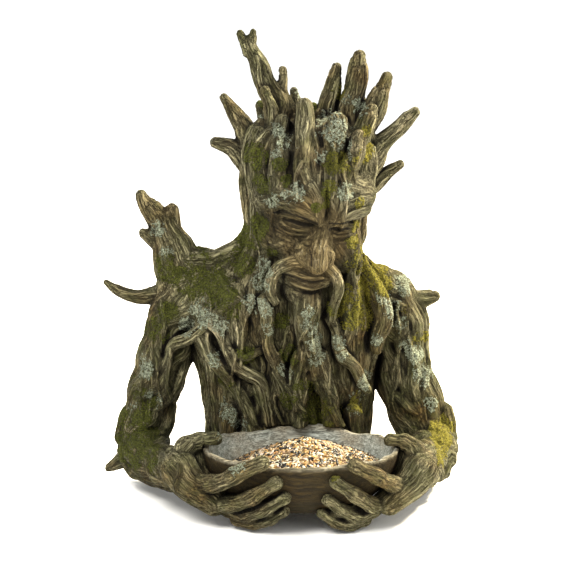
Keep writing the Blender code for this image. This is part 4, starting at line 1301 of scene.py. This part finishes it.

# %% [markdown]
# ## The carving's finish
# Four layers lie over each other: brown wood that greys where weather reaches it, lighter on worn
# ridges and painted highlights, with painted shade in the hollows, crusts of pale lichen, and
# cushions of moss painted yellow-green as sunlight on the right side. The masks on the mesh say
# where each one is, and fine noise makes its edge ragged, so the layers stay put on the wood and
# no picture is needed.

# %% Carved wood material
carved, tree, shader, place = new_finish("weathered_carving")
grain = node(tree, "ShaderNodeGroup", {}, node_tree=fibre_group)
tree.links.new(attribute(tree, "fibre", "Vector"), grain.inputs["Fibre"])
grain.inputs["Scale"].default_value = 1.0
cloud = noise_of(tree, place, 14.0, 3.0)
grit = noise_of(tree, place, 420.0, 3.0, 0.6)
crumb = noise_of(tree, place, 900.0, 2.0, 0.6)
hollow_shade_mask, moss_mask = attribute(tree, "hollow_and_shade"), attribute(tree, "moss")
lichen_mask, wear_highlight_mask = attribute(tree, "lichen"), attribute(tree, "wear_and_highlight")
painted_sun_mask, face_mask, film_mask = (attribute(tree, name) for name in ("painted_sun_side", "face", "film"))

# On the face the streaks are calmer and lighter
calm = times(tree, face_mask, 0.45)
streaks = times(tree, grain.outputs["Streaks"], maths(tree, "SUBTRACT", 1.0, calm))
streaks = maths(tree, "ADD", streaks, times(tree, calm, 0.85))
brown = mixed(tree, streaks, (0.018, 0.011, 0.0035, 1), (0.182, 0.126, 0.050, 1))
grey = mixed(tree, streaks, (0.028, 0.024, 0.011, 1), (0.306, 0.282, 0.172, 1))
greyness = times(tree, ranged(tree, cloud, 0.32, 0.56), ranged(tree, face_mask, 0.0, 1.0, 1.0, 0.3))
wood = mixed(tree, greyness, brown, grey)
# Worn ridges and painted highlights lighten the wood towards pale tan
wood = mixed(tree, ranged(tree, wear_highlight_mask, 0.30, 0.90, 0.0, 0.72), wood, (0.540, 0.470, 0.305, 1))
blotches = ranged(tree, noise_of(tree, place, 55.0), 0.35, 0.65, 0.1, 0.75)
green_film = times(tree, film_mask, blotches)
wood = mixed(tree, green_film, wood, (0.050, 0.054, 0.015, 1))
wood = mixed(tree, times(tree, grain.outputs["Cracks"], 0.85), wood, (0.016, 0.011, 0.006, 1))
# Painted shade: hollows are painted dark, less so on the face, but its slits and the deepest ones nearly
# black
shade = ranged(tree, face_mask, 0.0, 1.0, 1.0, 0.62)
shade = times(tree, ranged(tree, hollow_shade_mask, 0.08, 0.60), shade)
shade = maths(tree, "MAXIMUM", shade, ranged(tree, hollow_shade_mask, 0.72, 1.0, 0.0, 0.95))
wood = mixed(tree, shade, wood, (0.008, 0.006, 0.003, 1))


def cover(mask, ragged, low, high, most):
    """Growth on the wood: its mask made ragged by grit, cut sharp, and kept within its patch."""
    raw = maths(tree, "ADD", mask, times(tree, maths(tree, "SUBTRACT", grit, 0.50), ragged))
    return times(tree, ranged(tree, raw, low, high), ranged(tree, mask, 0.02, 0.25, 0.0, most))


crust = cover(lichen_mask, 2.2, 0.40, 0.60, 0.92)
pale = mixed(tree, ranged(tree, crumb, 0.38, 0.62), (0.115, 0.138, 0.095, 1), (0.420, 0.450, 0.340, 1))
wood = mixed(tree, crust, wood, pale)

cushion = cover(moss_mask, 1.9, 0.38, 0.62, 0.95)
tips = ranged(tree, crumb, 0.3, 0.7)
# Moss in painted shade and moss in painted sunlight, picked by the side of the figure
moss_in_painted_shade = mixed(tree, tips, (0.015, 0.018, 0.005, 1), (0.135, 0.145, 0.028, 1))
moss_in_painted_sun = mixed(tree, tips, (0.034, 0.032, 0.007, 1), (0.350, 0.310, 0.055, 1))
wood = mixed(tree, cushion, wood, mixed(tree, painted_sun_mask, moss_in_painted_shade, moss_in_painted_sun))
tree.links.new(wood, shader.inputs["Base Color"])
rough = maths(tree, "ADD", ranged(tree, grain.outputs["Streaks"], 0.0, 1.0, 0.85, 0.66), cushion, True)
tree.links.new(rough, shader.inputs["Roughness"])
shader.inputs["Specular IOR Level"].default_value = 0.2
growth_height = times(tree, maths(tree, "ADD", cushion, crust), maths(tree, "ADD", crumb, grit))
height = maths(tree, "ADD", times(tree, grain.outputs["Height"], 0.55), growth_height)
bumped(tree, shader, height, 1.0, 0.0022)
print("carved wood:", len(tree.nodes), "nodes")

# %% [markdown]
# ## The bowl's finish
# The bowl is smoother than the figure: brown and dark outside, greyed by seed and rain inside,
# pale at the worn lip. Its grain runs along its length, so the same fibre group is turned to
# read straight coordinates instead of the strands'.

# %% Bowl material
bowl_finish, tree, shader, place = new_finish("greyed_bowl_wood")
lengthwise = node(tree, "ShaderNodeMapping", {
    "Vector": place, "Rotation": (0, math.radians(90), 0), "Scale": (1000, 1000, 1000),
})
grain = node(tree, "ShaderNodeGroup", {
    "Fibre": lengthwise.outputs[0], "Scale": 0.8,
}, node_tree=fibre_group)
cloud = noise_of(tree, place, 22.0, 4.0)
tone = mixed(tree, grain.outputs["Streaks"], (0.006, 0.004, 0.0015, 1), (0.040, 0.027, 0.009, 1))
tone = mixed(tree, ranged(tree, cloud, 0.40, 0.65, 0.0, 0.6), tone, (0.026, 0.021, 0.008, 1))
pale_inside = mixed(tree, grain.outputs["Streaks"], (0.205, 0.215, 0.186, 1), (0.440, 0.460, 0.410, 1))
brown_spots = ranged(tree, cloud, 0.46, 0.64, 0.0, 0.60)
pale_inside = mixed(tree, brown_spots, pale_inside, (0.300, 0.262, 0.195, 1))
tone = mixed(tree, attribute(tree, "inside"), tone, pale_inside)
pale_lip = mixed(tree, grain.outputs["Streaks"], (0.095, 0.084, 0.056, 1), (0.330, 0.300, 0.225, 1))
worn_lip = times(tree, attribute(tree, "lip"), ranged(tree, cloud, 0.3, 0.6, 0.35, 1.0))
tone = mixed(tree, worn_lip, tone, pale_lip)
tone = mixed(tree, times(tree, grain.outputs["Cracks"], 0.6), tone, (0.020, 0.015, 0.008, 1))
tree.links.new(tone, shader.inputs["Base Color"])
shader.inputs["Roughness"].default_value = 0.72
shader.inputs["Specular IOR Level"].default_value = 0.18
bumped(tree, shader, grain.outputs["Height"], 0.7, 0.0008)
print("bowl wood:", len(tree.nodes), "nodes")

# %% [markdown]
# ## The seed's finish
# Husks are smooth and slightly glossy, and no two have the same tone. One material per kind would
# do, but a colour stored on each seed's corners needs one material alone and varies within a
# kind. The heap under them is only seen in the gaps, so it is a mottled brown.

# %% Seed materials
seed_finish, tree, shader, place = new_finish("seed_husks")
spots = ranged(tree, noise_of(tree, place, 700.0, 2.0), 0.3, 0.7, 0.75, 1.15)
husk_colour = attribute(tree, "seed_colour", "Color")
husk = node(tree, "ShaderNodeVectorMath", {0: husk_colour}, operation="SCALE")
tree.links.new(spots, husk.inputs["Scale"])
tree.links.new(husk.outputs[0], shader.inputs["Base Color"])
shader.inputs["Roughness"].default_value = 0.45
heap_finish, tree, shader, place = new_finish("seed_shade")
grains = ranged(tree, noise_of(tree, place, 330.0, 3.0), 0.35, 0.65)
dark = mixed(tree, grains, (0.10, 0.06, 0.025, 1), (0.38, 0.26, 0.11, 1))
tree.links.new(dark, shader.inputs["Base Color"])
shader.inputs["Roughness"].default_value = 0.8
bumped(tree, shader, grains, 1.0, 0.002)
print("finishes:", [finish.name for finish in (carved, bowl_finish, seed_finish, heap_finish)])

# %% [markdown]
# ## Each piece to its body
# Every piece takes its material and rides on the body, and the imported solids it replaces are hidden.

# %% Hand the pieces over
for piece in figure_pieces:
    piece.data.materials.append(carved)
    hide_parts("figure")
bowl.data.materials.append(bowl_finish)
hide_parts("seed_bowl")
birdseed.data.materials.append(seed_finish)
heap.data.materials.append(heap_finish)
for piece in (*figure_pieces, bowl, birdseed, heap):
    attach(piece, "root")
print("handed over:", len(figure_pieces) + 3, "pieces")

# %% [markdown]
# ## Camera, floor and light
# The view is slightly down from straight in front, from far enough away that there is little
# perspective. The light is soft, with a warm edge from the right and from behind. A wide lamp at
# the left does most of the work, because a sky alone would leave the grooves flat.

# %% Camera
# The view's slope, its distance and the point that it aims at, in layout units
ELEVATION = math.radians(12.0)
DISTANCE = 2400
AIM_DEPTH, AIM_HEIGHT = -60, 270
camera = bpy.data.objects.new("camera", bpy.data.cameras.new("camera"))
bpy.context.scene.collection.objects.link(camera)
camera.data.lens = 120.94
camera.data.sensor_width = 36.0
camera.data.clip_end = 120.0
camera.location = (
    0,
    (AIM_DEPTH - DISTANCE * math.cos(ELEVATION)) * UNIT,
    (AIM_HEIGHT + DISTANCE * math.sin(ELEVATION)) * UNIT,
)
camera.rotation_euler = (math.radians(90) - ELEVATION, 0, 0)
bpy.context.scene.camera = camera
print("camera at", [round(v, 3) for v in camera.location])

# %% Floor and lights
HALF_FLOOR = 40
corners = [(x * HALF_FLOOR, y * HALF_FLOOR, 0) for x, y in ((-1, -1), (1, -1), (1, 1), (-1, 1))]
floor_data = bpy.data.meshes.new("floor")
floor_data.from_pydata(corners, [], [(0, 1, 2, 3)])
floor = bpy.data.objects.new("floor", floor_data)
bpy.context.scene.collection.objects.link(floor)
floor_finish = bpy.data.materials.new("pale_floor")
floor_finish.use_nodes = True
shader = floor_finish.node_tree.nodes["Principled BSDF"]
shader.inputs["Base Color"].default_value = (0.93, 0.93, 0.92, 1)
shader.inputs["Roughness"].default_value = 0.9
floor_data.materials.append(floor_finish)


def area_light(name, place, aim, size, power, colour):
    """A square lamp at a place in metres that faces an aim point."""
    lamp = bpy.data.objects.new(name, bpy.data.lights.new(name, "AREA"))
    lamp.data.size = size
    lamp.data.energy = power
    lamp.data.color = colour
    lamp.location = place
    direction = np.array(aim) - np.array(place)
    turn = math.atan2(direction[1], direction[0])
    drop = math.atan2(math.hypot(direction[0], direction[1]), -direction[2])
    lamp.rotation_euler = (drop, 0, turn - math.pi / 2)
    bpy.context.scene.collection.objects.link(lamp)
    return lamp


area_light("window", (-0.9, -1.6, 1.9), (0, 0, 0.25), 0.9, 66.0, (1.0, 0.97, 0.91))
area_light("fill", (1.6, -1.8, 0.9), (0, 0, 0.25), 1.5, 12.0, (1.0, 0.96, 0.88))
area_light("sun_edge", (1.5, 0.6, 1.5), (0, 0, 0.3), 0.3, 170.0, (1.0, 0.90, 0.68))
world = bpy.data.worlds.new("studio")
world.use_nodes = True
sky = world.node_tree.nodes["Background"]
sky.inputs["Color"].default_value = (1.0, 1.0, 1.0, 1)
sky.inputs["Strength"].default_value = 1.03
bpy.context.scene.world = world
bpy.context.scene.view_settings.view_transform = "Standard"
bpy.context.scene.view_settings.look = "Medium High Contrast"
